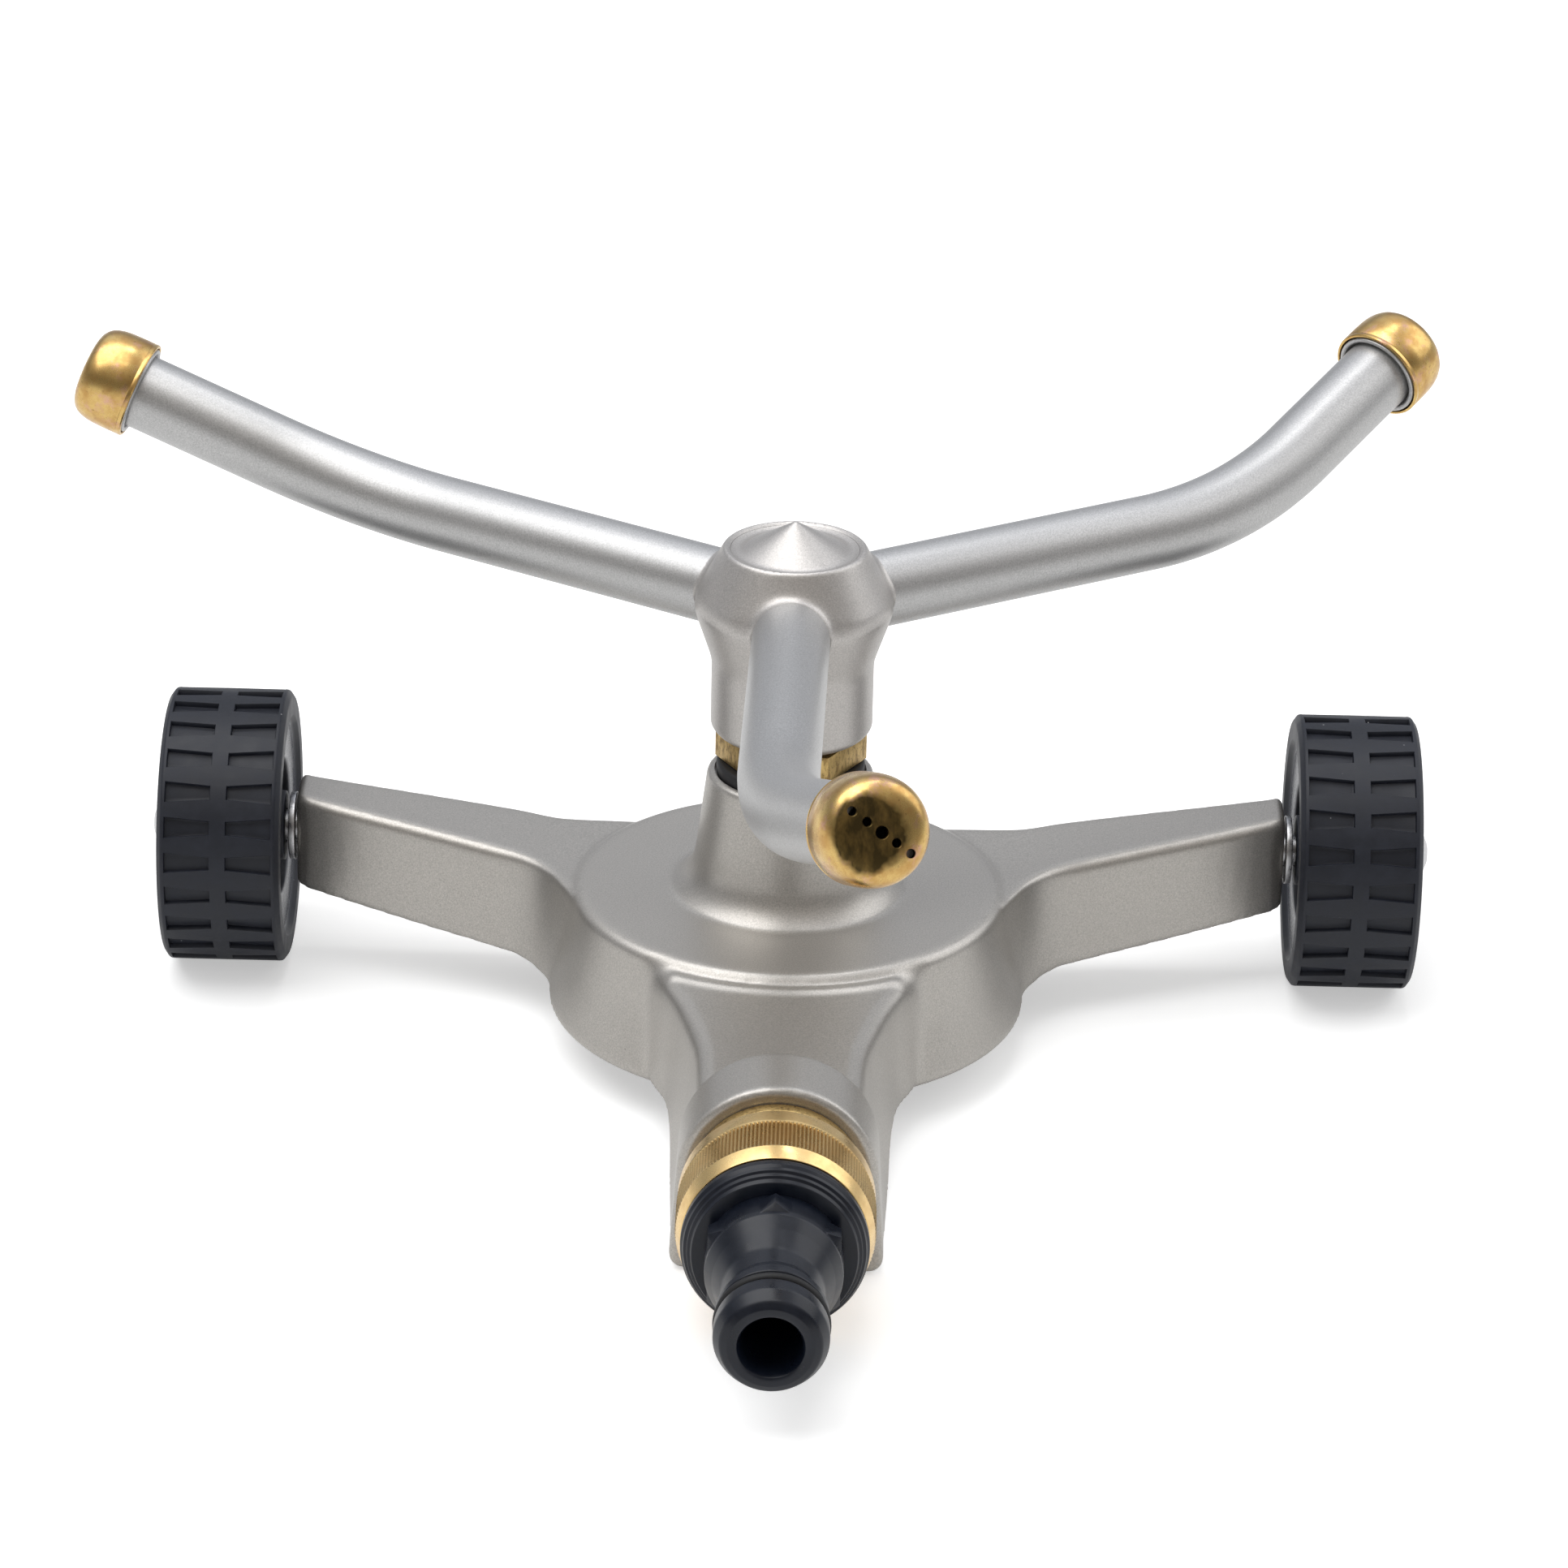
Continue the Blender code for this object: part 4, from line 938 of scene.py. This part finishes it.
def arm_collars():
    collar = turned("collar", (
        (6.9, -4.6), (7.1, -8.3), (7.2, -9.0, 0.3), (7.12, -9.55, 0.3), (6.75, -9.7, 0.25),
        (6.45, -9.5, 0.2), (6.2, -8.9, 0.2), (6.05, -8.7), (6.05, -4.6)), 96)
    three_round(smooth(collar, 60.0), tip_place(), "satin tube", "rotor",
                "arm_collar_{}")


def mark_places(piece):
    """Keep each point's place on the piece in mm, for a finish that follows the piece."""
    places = piece.data.attributes.new("place", "FLOAT_VECTOR", "POINT")
    for vert, target in zip(piece.data.vertices, places.data):
        target.vector = vert.co / MM


def nozzle_caps(sizes):
    cap = turned("cap", (
        (0.0, -0.02), (2.4, -0.03), (4.0, -0.09), (5.2, -0.26), (6.0, -0.53), (6.62, -0.98),
        (7.12, -1.58), (7.46, -2.35), (7.7, -3.3), (7.83, -4.4), (7.88, -6.0), (7.88, -8.5),
        (7.81, -8.62), (7.88, -8.74), (7.88, -9.2), (7.76, -9.38, 0.05), (7.45, -9.4, 0.06),
        (7.35, -9.1), (7.3, -5.0), (6.9, -2.7, 0.8), (6.1, -1.4), (0.0, -1.3)), 144)
    hole_radii = (0.65, 0.65, 0.9, 0.65, 0.65)
    row_turn = math.radians(-40.5)
    dome = -0.0078
    lip = 0.14
    for number, radius in enumerate(hole_radii, -2):
        reach = sizes.pitch / MM * number
        face = dome * reach * reach
        across = Vector((reach * math.cos(row_turn), reach * math.sin(row_turn), 0)) * MM
        combine(cap, turned("drill", (
            (0.0, 1.0), (radius + lip, 1.0), (radius + lip, face + 0.02), (radius, face - lip),
            (radius, -2.4), (0.0, -2.4)), 32, Matrix.Translation(across)))
    mark_places(cap)
    three_round(smooth(cap, 32.0), tip_place(), "cap brass", "nozzle_cap_{}",
                "nozzle_{}")


# Inlet and hose adapter.

def inlet_tail():
    tail = turned("tail", (
        (11.9, 89.7, 0.2), (11.9, 87.6, 0.2), (9.0, 87.6), (9.0, 82.0, 0.3), (12.8, 82.0, 0.8),
        (12.8, 79.3, 0.3), (7.7, 79.3), (7.7, 67.0), (5.0, 67.0), (5.0, 89.7)), 112)
    smooth(settle(tail, along_inlet()))
    dress(tail, "worn brass", "base", "inlet_tail")


def swivel_ring(sizes):
    """A turned ring with twice as many sides as teeth; every other edge is drawn in."""
    sides = sizes.teeth * 2
    ring = turned("ring", (
        (12.9, 97.7, 0.1), (13.62, 97.7, 0.15), (14.35, 95.15), (RING_RADIUS, KNURL_END),
        (RING_RADIUS, KNURL_START), (14.36, 87.6), (14.4, 87.3, 0.1), (14.4, 84.6, 0.2),
        (14.05, 84.3, 0.1), (9.3, 84.3), (9.3, 87.3), (12.9, 87.3)), sides)

    def in_groove(vert):
        number = round(math.atan2(vert.co.y, vert.co.x) / math.tau * sides)
        wide = math.hypot(vert.co.x, vert.co.y) > (RING_RADIUS - 0.05) * MM
        return wide and number % 2 == 1

    pick(ring)
    bpy.ops.object.mode_set(mode="EDIT")
    select_verts(ring, in_groove)
    depth = 1.0 - sizes.knurl / (RING_RADIUS * MM)
    bpy.ops.transform.resize(value=(depth, depth, 1.0), center_override=(0, 0, 0))
    bpy.ops.object.mode_set(mode="OBJECT")
    smooth(settle(ring, along_inlet()), 20.0)
    dress(ring, "turned brass", "hose_swivel", "swivel_ring")


def hose_adapter():
    barrel = turned("barrel", (
        (6.1, 128.2, 0.6), (7.2, 127.6, 1.2), (8.2, 125.6, 1.4), (8.2, 122.9, 0.4),
        (6.6, 122.6, 0.1), (6.6, 120.7, 0.1), (8.0, 120.4, 0.3), (8.1, 119.0, 0.4),
        (7.35, 118.3, 0.3), (7.5, 117.6, 0.3), (7.1, 117.0, 0.3), (6.95, 115.8, 1.0),
        (7.4, 112.9, 4.0), (8.8, 109.6, 3.0), (9.9, 107.4, 1.0), (9.95, 106.4, 0.2),
        (9.9, 101.9), (11.9, 101.9, 0.2), (12.15, 101.2, 0.15), (12.55, 101.0, 0.15),
        (12.7, 100.5, 0.15), (13.1, 100.3, 0.15), (13.25, 99.8, 0.2), (13.6, 99.3, 0.3),
        (13.6, 98.1, 0.2), (12.6, 98.1), (12.6, 92.3), (6.0, 92.3), (4.5, 96.3), (4.5, 127.4),
        (4.8, 128.0, 0.2), (5.2, 128.2)), 144)
    corner = 10.95
    blank = turned("blank", (
        (0.0, 107.1), (9.6, 107.1), (corner, 105.8), (corner, 100.3), (0.0, 100.3)), 144)
    nut = hexagon(corner, 103.2, 110.0)
    settle(nut, Matrix.Rotation(math.radians(30.0), 4, "Z"))
    combine(blank, nut, "INTERSECT")
    bevel(blank, 0.14, 20.0)
    combine(blank, rod(6.3, (0, 0, 99), (0, 0, 113), 64))
    combine(barrel, blank, "UNION")
    smooth(settle(barrel, along_inlet()), 32.0)
    dress(barrel, "black fitting", "hose_swivel", "hose_adapter")


def adapter_seal():
    """The O-ring in the groove of the adapter's spigot."""
    pick()
    bpy.ops.mesh.primitive_torus_add(
        major_radius=7.55 * MM, minor_radius=0.78 * MM, major_segments=72, minor_segments=16,
        location=(0, 0, 121.65 * MM))
    ring = smooth(settle(bpy.context.object, along_inlet()), 60.0)
    dress(ring, "black rubber", "hose_swivel", "adapter_o_ring")


def hose_washer():
    washer = turned("washer", ((6.0, 92.0, 0.3), (12.1, 92.0, 0.3), (12.1, 90.0, 0.3),
                               (6.0, 90.0, 0.3)), 72)
    smooth(settle(washer, along_inlet()))
    dress(washer, "black rubber", "hose_swivel", "hose_washer")


# Wheels and axles.

def lean(column, height):
    """How far a point of the tread moves round, in columns: the pockets are pulled narrower at
    the middle of the tread and wider towards its rims."""
    pocket_start = 1.6
    pocket_width = 6.9
    pull = 0.2 - 0.4 * max(0.0, height - pocket_start) / pocket_width
    if column < 2.0:
        return pull * column
    return pull * (4.0 - column if column <= 6.0 else column - 8.0)


def wheels(sizes):
    """Tread with two rows of tapered pockets, rounded rims, dished sides and a hub. Each pocket
    and the lug beside it take eight columns of faces, and the pocket four of them."""
    columns = 8
    near_tread = TREAD_RADIUS - 0.15
    row_start = 1.3
    row_end = 8.6
    half = (
        (2.8, 9.05), (5.6, 9.05, 0.3), (6.1, 4.35, 0.5), (10.7, 4.35, 0.6), (10.9, 8.3, 0.4),
        (11.6, 8.55, 0.3), (16.9, 8.75, 0.3), (17.9, 9.75, 0.35), (20.9, 9.75, 0.8),
        (21.95, 9.0, 0.8), (TREAD_RADIUS, 8.5), (TREAD_RADIUS, 5.0), (TREAD_RADIUS, 1.6),
        (TREAD_RADIUS, 1.25))
    outline = list(half) + [(point[0], -point[1], *point[2:]) for point in reversed(half)]
    piece = turned("wheel", outline, sizes.lugs * columns)
    pick(piece)
    bpy.ops.object.mode_set(mode="EDIT")
    bpy.ops.mesh.select_all(action="DESELECT")
    bpy.ops.mesh.select_mode(type="FACE")
    step = math.tau / (sizes.lugs * columns)
    bm = bmesh.from_edit_mesh(piece.data)
    for face in bm.faces:
        middle = face.calc_center_median()
        column = math.floor(math.atan2(middle.y, middle.x) / step) % columns
        outside = math.hypot(middle.x, middle.y) > near_tread * MM
        in_row = row_start * MM < abs(middle.z) < row_end * MM
        face.select_set(outside and in_row and 2 <= column <= 5)
    for vert in bm.verts:
        height = abs(vert.co.z) / MM
        if math.hypot(vert.co.x, vert.co.y) > near_tread * MM and height < row_end + 0.1:
            column = math.atan2(vert.co.y, vert.co.x) / step % columns
            vert.co = Matrix.Rotation(lean(column, height) * step, 3, "Z") @ vert.co
    bmesh.update_edit_mesh(piece.data)
    for thickness, depth in ((0.07, -0.10), (0.06, -0.74), (0.16, -0.06)):
        bpy.ops.mesh.inset(thickness=thickness * MM, depth=depth * MM, use_boundary=True,
                           use_even_offset=True)
    bpy.ops.mesh.select_mode(type="VERT")
    bpy.ops.object.mode_set(mode="OBJECT")
    smooth(piece, 38.0)
    for name, side in SIDES:
        place = on_axle(side) @ Matrix.Translation(Vector((0.0, 0.0, WHEEL_X * MM)))
        dress(twin(piece, place), "wheel plastic", name + "_wheel",
              "wheel_" + name)
    bpy.data.objects.remove(piece, do_unlink=True)


def axles():
    pin = turned("pin", ((0.0, 101.35), (2.5, 101.35, 0.5), (2.5, 68.4, 0.3), (0.0, 68.4)), 64)
    washer = turned("washer", ((5.5, 80.95, 0.15), (5.5, 79.95, 0.15), (2.8, 79.95),
                               (2.8, 80.95)), 64)
    cap = turned("cap", (
        (0.0, 103.05), (1.6, 103.0, 0.8), (3.4, 102.2, 0.8), (4.0, 101.0, 0.6),
        (4.35, 100.05, 0.15), (2.75, 100.05), (2.75, 101.55), (0.0, 101.55)), 64)
    for piece, node in ((pin, "axle_"), (washer, "axle_washer_"), (cap, "axle_cap_")):
        smooth(piece)
        for name, side in SIDES:
            dress(twin(piece, on_axle(side)), "zinc plate", "base", node + name)
        bpy.data.objects.remove(piece, do_unlink=True)


def inner_parts():
    """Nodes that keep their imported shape, inside the column, the hub, the boss and the caps."""
    kept = {
        "zinc plate": ("thrust_washer", "top_washer", "lock_nut"),
        "black rubber": ("spindle_o_ring_lower", "spindle_o_ring_upper", "tail_o_ring",
                         "nozzle_o_ring_front", "nozzle_o_ring_right", "nozzle_o_ring_left"),
    }
    for finish, nodes in kept.items():
        for node in nodes:
            for material_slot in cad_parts[node].material_slots:
                material_slot.material = FINISHES[finish]


# Floor, light and camera.

def floor():
    pick()
    bpy.ops.mesh.primitive_plane_add(size=6.0, location=(0, 0, -0.2 * MM))
    ground = settle(bpy.context.object)
    ground.name = "floor"
    finish = Finish("pale floor", (0.86, 0.86, 0.86), 0.9)
    tone = finish.tint(finish.noise(220.0, 3.0), (0.85, 0.85, 0.85), (0.88, 0.88, 0.88))
    rays = finish.add("ShaderNodeLightPath").outputs
    mirrored = finish.both("MULTIPLY", rays["Is Glossy Ray"], 0.3)
    seen = finish.both("MAXIMUM", rays["Is Camera Ray"], mirrored)
    finish.set(finish.shader, {"Base Color": tone, "Emission Color": (1, 1, 1, 1),
                               "Emission Strength": finish.both("MULTIPLY", seen, 0.45)})
    ground.data.materials.append(finish.material)


def studio_world():
    """White for the camera. Reflections see a light tent: dim all round above the horizon, cool
    and bright behind the sprinkler, brown and dim in front of it."""
    brown = (0.66, 0.61, 0.56)
    cool = (1.18, 1.23, 1.34)
    heights = ((0.0, 0.8), (0.46, 0.60), (0.52, 0.52), (0.60, 0.30), (0.69, 0.33), (0.80, 0.70),
               (1.0, 1.0))
    plain_light = 0.5
    world = bpy.data.worlds.new("light tent")
    bpy.context.scene.world = world
    world.use_nodes = True
    tent = Nodes(world.node_tree)
    place = tent.add("ShaderNodeTexCoord").outputs["Generated"]
    split = tent.add("ShaderNodeSeparateXYZ", {0: place}).outputs
    ramp = tent.add("ShaderNodeValToRGB", {"Fac": tent.levels(split["Z"], -1.0, 1.0)})
    stops = ramp.color_ramp.elements
    while len(stops) < len(heights):
        stops.new(0.5)
    for stop, (position, level) in zip(stops, heights):
        stop.position = position
        stop.color = (level, level, level, 1.0)
    sides = tent.tint(tent.levels(split["Y"], -0.9, 0.9, curve="SMOOTHSTEP"), brown, cool)
    rays = tent.add("ShaderNodeLightPath").outputs
    tone = tent.tint(rays["Is Glossy Ray"], (1.0, 1.0, 1.0), sides)
    lit = tent.mix(rays["Is Glossy Ray"], plain_light, ramp.outputs["Color"])
    clear = tent.both("MAXIMUM", rays["Is Camera Ray"], rays["Is Transmission Ray"])
    tent.set(tent.tree.nodes["Background"], {"Color": tone, "Strength": tent.mix(clear, lit, 1.0)})


def softbox(name, place, aim, size, power):
    """A square lamp at a place in metres, turned to its aim."""
    pick()
    turn = (Vector(aim) - Vector(place)).to_track_quat("-Z", "Y").to_euler()
    bpy.ops.object.light_add(type="AREA", location=place, rotation=turn)
    lamp = bpy.context.object
    lamp.name = name
    lamp.data.shape = "SQUARE"
    lamp.data.size = size
    lamp.data.energy = power


def camera(sizes):
    """The fitted camera: it looks down on the inlet end from in front."""
    pitch = math.radians(24.30)
    yaw = math.radians(-0.512)
    roll = math.radians(-1.2)
    stand = Vector((6.48, -833.26, 419.44))
    ahead = Vector((math.sin(yaw) * math.cos(pitch), math.cos(yaw) * math.cos(pitch),
                    -math.sin(pitch)))
    right = Vector((math.cos(yaw), -math.sin(yaw), 0.0))
    down = ahead.cross(right)
    across = right * math.cos(roll) + down * math.sin(roll)
    downward = down * math.cos(roll) - right * math.sin(roll)
    place = Matrix((across, -downward, -ahead)).transposed().to_4x4()
    place.translation = ROTOR + stand * MM
    pick()
    bpy.ops.object.camera_add()
    eye = bpy.context.object
    eye.name = "camera"
    eye.data.sensor_width = SENSOR_WIDTH
    eye.data.lens = sizes.lens
    eye.matrix_world = place
    bpy.context.scene.camera = eye
    bpy.context.scene.view_settings.view_transform = "Standard"


# Settings a user would change.

class SprinklerColours(PropertyGroup):
    casting: FloatVectorProperty(
        name="Casting", description="Coat of the cast base", subtype="COLOR",
        default=(0.46, 0.44, 0.41), min=0.0, max=1.0)
    hub: FloatVectorProperty(
        name="Hub", description="Coat of the hub and its cone", subtype="COLOR",
        default=(0.49, 0.47, 0.45), min=0.0, max=1.0)
    tubes: FloatVectorProperty(
        name="Tubes", description="Satin finish of the arms and their collars",
        subtype="COLOR", default=(0.48, 0.478, 0.475), min=0.0, max=1.0)
    brass: FloatVectorProperty(
        name="Brass", description="Nozzle caps", subtype="COLOR",
        default=(0.66, 0.46, 0.17), min=0.0, max=1.0)
    ring_brass: FloatVectorProperty(
        name="Ring brass", description="Swivel ring", subtype="COLOR",
        default=(0.86, 0.62, 0.28), min=0.0, max=1.0)
    worn_brass: FloatVectorProperty(
        name="Worn brass", description="Spindle and inlet tail", subtype="COLOR",
        default=(0.66, 0.47, 0.19), min=0.0, max=1.0)
    fitting: FloatVectorProperty(
        name="Fitting", description="Plastic of the hose adapter", subtype="COLOR",
        default=(0.004, 0.006, 0.012), min=0.0, max=1.0)
    wheels: FloatVectorProperty(
        name="Wheels", description="Plastic of the wheels", subtype="COLOR",
        default=(0.008, 0.010, 0.017), min=0.0, max=1.0)


class SprinklerSizes(PropertyGroup):
    grain: FloatProperty(
        name="Casting grain", description="Face size of the cast base's skin",
        default=0.50 * MM, min=0.3 * MM, max=2.0 * MM, unit="LENGTH", precision=5)
    hub_grain: FloatProperty(
        name="Hub grain", description="Face size of the hub's skin",
        default=0.26 * MM, min=0.2 * MM, max=1.0 * MM, unit="LENGTH", precision=5)
    pitch: FloatProperty(
        name="Hole pitch", description="Distance between the holes of a nozzle cap",
        default=2.55 * MM, min=2.0 * MM, max=3.0 * MM, unit="LENGTH", precision=5)
    teeth: IntProperty(
        name="Knurl teeth", description="Teeth round the swivel ring", default=150,
        min=60, max=200)
    knurl: FloatProperty(
        name="Knurl depth", description="Depth of the knurl's grooves",
        default=0.35 * MM, min=0.0, max=0.6 * MM, unit="LENGTH", precision=5)
    lugs: IntProperty(
        name="Wheel lugs", description="Pockets in each row of a wheel's tread", default=24,
        min=8, max=40)
    lens: FloatProperty(
        name="Lens", description="Focal length of the camera in millimetres",
        default=SENSOR_WIDTH * FOCAL_PIXELS / PHOTO_WIDTH, min=20.0, max=300.0,
        unit="CAMERA")


class SPRINKLER_OT_finishes(Operator):
    """Make the procedural finishes"""
    bl_idname = "sprinkler.finishes"
    bl_label = "Finishes"

    def execute(self, context):
        make_finishes(context.scene.sprinkler_colours)
        return {"FINISHED"}


class SPRINKLER_OT_cast_base(Operator):
    """Model the cast base with its legs, column and inlet boss"""
    bl_idname = "sprinkler.cast_base"
    bl_label = "Cast base"

    def execute(self, context):
        cast_base(context.scene.sprinkler_sizes)
        return {"FINISHED"}


class SPRINKLER_OT_spindle(Operator):
    """Turn the brass spindle and its seal"""
    bl_idname = "sprinkler.spindle"
    bl_label = "Spindle and seal"

    def execute(self, context):
        spindle()
        column_seal()
        return {"FINISHED"}


class SPRINKLER_OT_hub(Operator):
    """Model the hub with its three sockets, and the cone on top"""
    bl_idname = "sprinkler.hub"
    bl_label = "Hub"

    def execute(self, context):
        hub(context.scene.sprinkler_sizes)
        hub_cone()
        return {"FINISHED"}


class SPRINKLER_OT_arms(Operator):
    """Bend one tube with its end collar and copy it round the hub"""
    bl_idname = "sprinkler.arms"
    bl_label = "Arms"

    def execute(self, context):
        arm_tubes()
        arm_collars()
        return {"FINISHED"}


class SPRINKLER_OT_nozzle_caps(Operator):
    """Turn one nozzle cap, drill its holes and copy it to the arm ends"""
    bl_idname = "sprinkler.nozzle_caps"
    bl_label = "Nozzle caps"

    def execute(self, context):
        nozzle_caps(context.scene.sprinkler_sizes)
        return {"FINISHED"}


class SPRINKLER_OT_inlet(Operator):
    """Turn the inlet tail and the knurled swivel ring"""
    bl_idname = "sprinkler.inlet"
    bl_label = "Inlet"

    def execute(self, context):
        inlet_tail()
        swivel_ring(context.scene.sprinkler_sizes)
        return {"FINISHED"}


class SPRINKLER_OT_hose_adapter(Operator):
    """Model the black quick-connect adapter, its ring and its washer"""
    bl_idname = "sprinkler.hose_adapter"
    bl_label = "Hose adapter"

    def execute(self, context):
        hose_adapter()
        adapter_seal()
        hose_washer()
        return {"FINISHED"}


class SPRINKLER_OT_wheels(Operator):
    """Model one wheel and copy it to the other side"""
    bl_idname = "sprinkler.wheels"
    bl_label = "Wheels"

    def execute(self, context):
        wheels(context.scene.sprinkler_sizes)
        return {"FINISHED"}


class SPRINKLER_OT_axles(Operator):
    """Turn the axle pins, washers and push-on caps"""
    bl_idname = "sprinkler.axles"
    bl_label = "Axles"

    def execute(self, context):
        axles()
        return {"FINISHED"}


class SPRINKLER_OT_inner_parts(Operator):
    """Give the parts inside their finishes"""
    bl_idname = "sprinkler.inner_parts"
    bl_label = "Inner parts"

    def execute(self, context):
        inner_parts()
        return {"FINISHED"}


class SPRINKLER_OT_stage(Operator):
    """Set up the floor, the light tent, the lamps and the camera"""
    bl_idname = "sprinkler.stage"
    bl_label = "Stage"

    def execute(self, context):
        floor()
        studio_world()
        softbox("top lamp", (-0.35, -0.05, 1.1), (0.0, 0.0, 0.03), 1.1, 9.0)
        softbox("side lamp", (0.9, 0.3, 0.7), (0.0, 0.0, 0.04), 0.9, 3.2)
        softbox("small lamp", (0.17, 0.42, 1.1), (0.0, -0.02, 0.03), 0.22, 0.6)
        camera(context.scene.sprinkler_sizes)
        return {"FINISHED"}


class SPRINKLER_PT_build(Panel):
    """Everything that builds the sprinkler, in order"""
    bl_label = "Rotary sprinkler"
    bl_idname = "SPRINKLER_PT_build"
    bl_space_type = "VIEW_3D"
    bl_region_type = "UI"
    bl_category = "Sprinkler"

    def draw(self, context):
        layout = self.layout
        for group in (context.scene.sprinkler_colours, context.scene.sprinkler_sizes):
            box = layout.box()
            for name in group.__annotations__:
                box.prop(group, name)
        column = layout.column(align=True)
        for step in STEPS:
            column.operator(step.bl_idname)


STEPS = (
    SPRINKLER_OT_finishes,
    SPRINKLER_OT_cast_base,
    SPRINKLER_OT_spindle,
    SPRINKLER_OT_hub,
    SPRINKLER_OT_arms,
    SPRINKLER_OT_nozzle_caps,
    SPRINKLER_OT_inlet,
    SPRINKLER_OT_hose_adapter,
    SPRINKLER_OT_wheels,
    SPRINKLER_OT_axles,
    SPRINKLER_OT_inner_parts,
    SPRINKLER_OT_stage,
)
CLASSES = (SprinklerColours, SprinklerSizes, *STEPS, SPRINKLER_PT_build)


def register():
    for cls in CLASSES:
        bpy.utils.register_class(cls)
    bpy.types.Scene.sprinkler_colours = PointerProperty(type=SprinklerColours)
    bpy.types.Scene.sprinkler_sizes = PointerProperty(type=SprinklerSizes)


def unregister():
    del bpy.types.Scene.sprinkler_colours
    del bpy.types.Scene.sprinkler_sizes
    for cls in reversed(CLASSES):
        bpy.utils.unregister_class(cls)


def main():
    register()
    bpy.ops.sprinkler.finishes()
    bpy.ops.sprinkler.cast_base()
    bpy.ops.sprinkler.spindle()
    bpy.ops.sprinkler.hub()
    bpy.ops.sprinkler.arms()
    bpy.ops.sprinkler.nozzle_caps()
    bpy.ops.sprinkler.inlet()
    bpy.ops.sprinkler.hose_adapter()
    bpy.ops.sprinkler.wheels()
    bpy.ops.sprinkler.axles()
    bpy.ops.sprinkler.inner_parts()
    bpy.ops.sprinkler.stage()


if __name__ == "__main__":
    main()
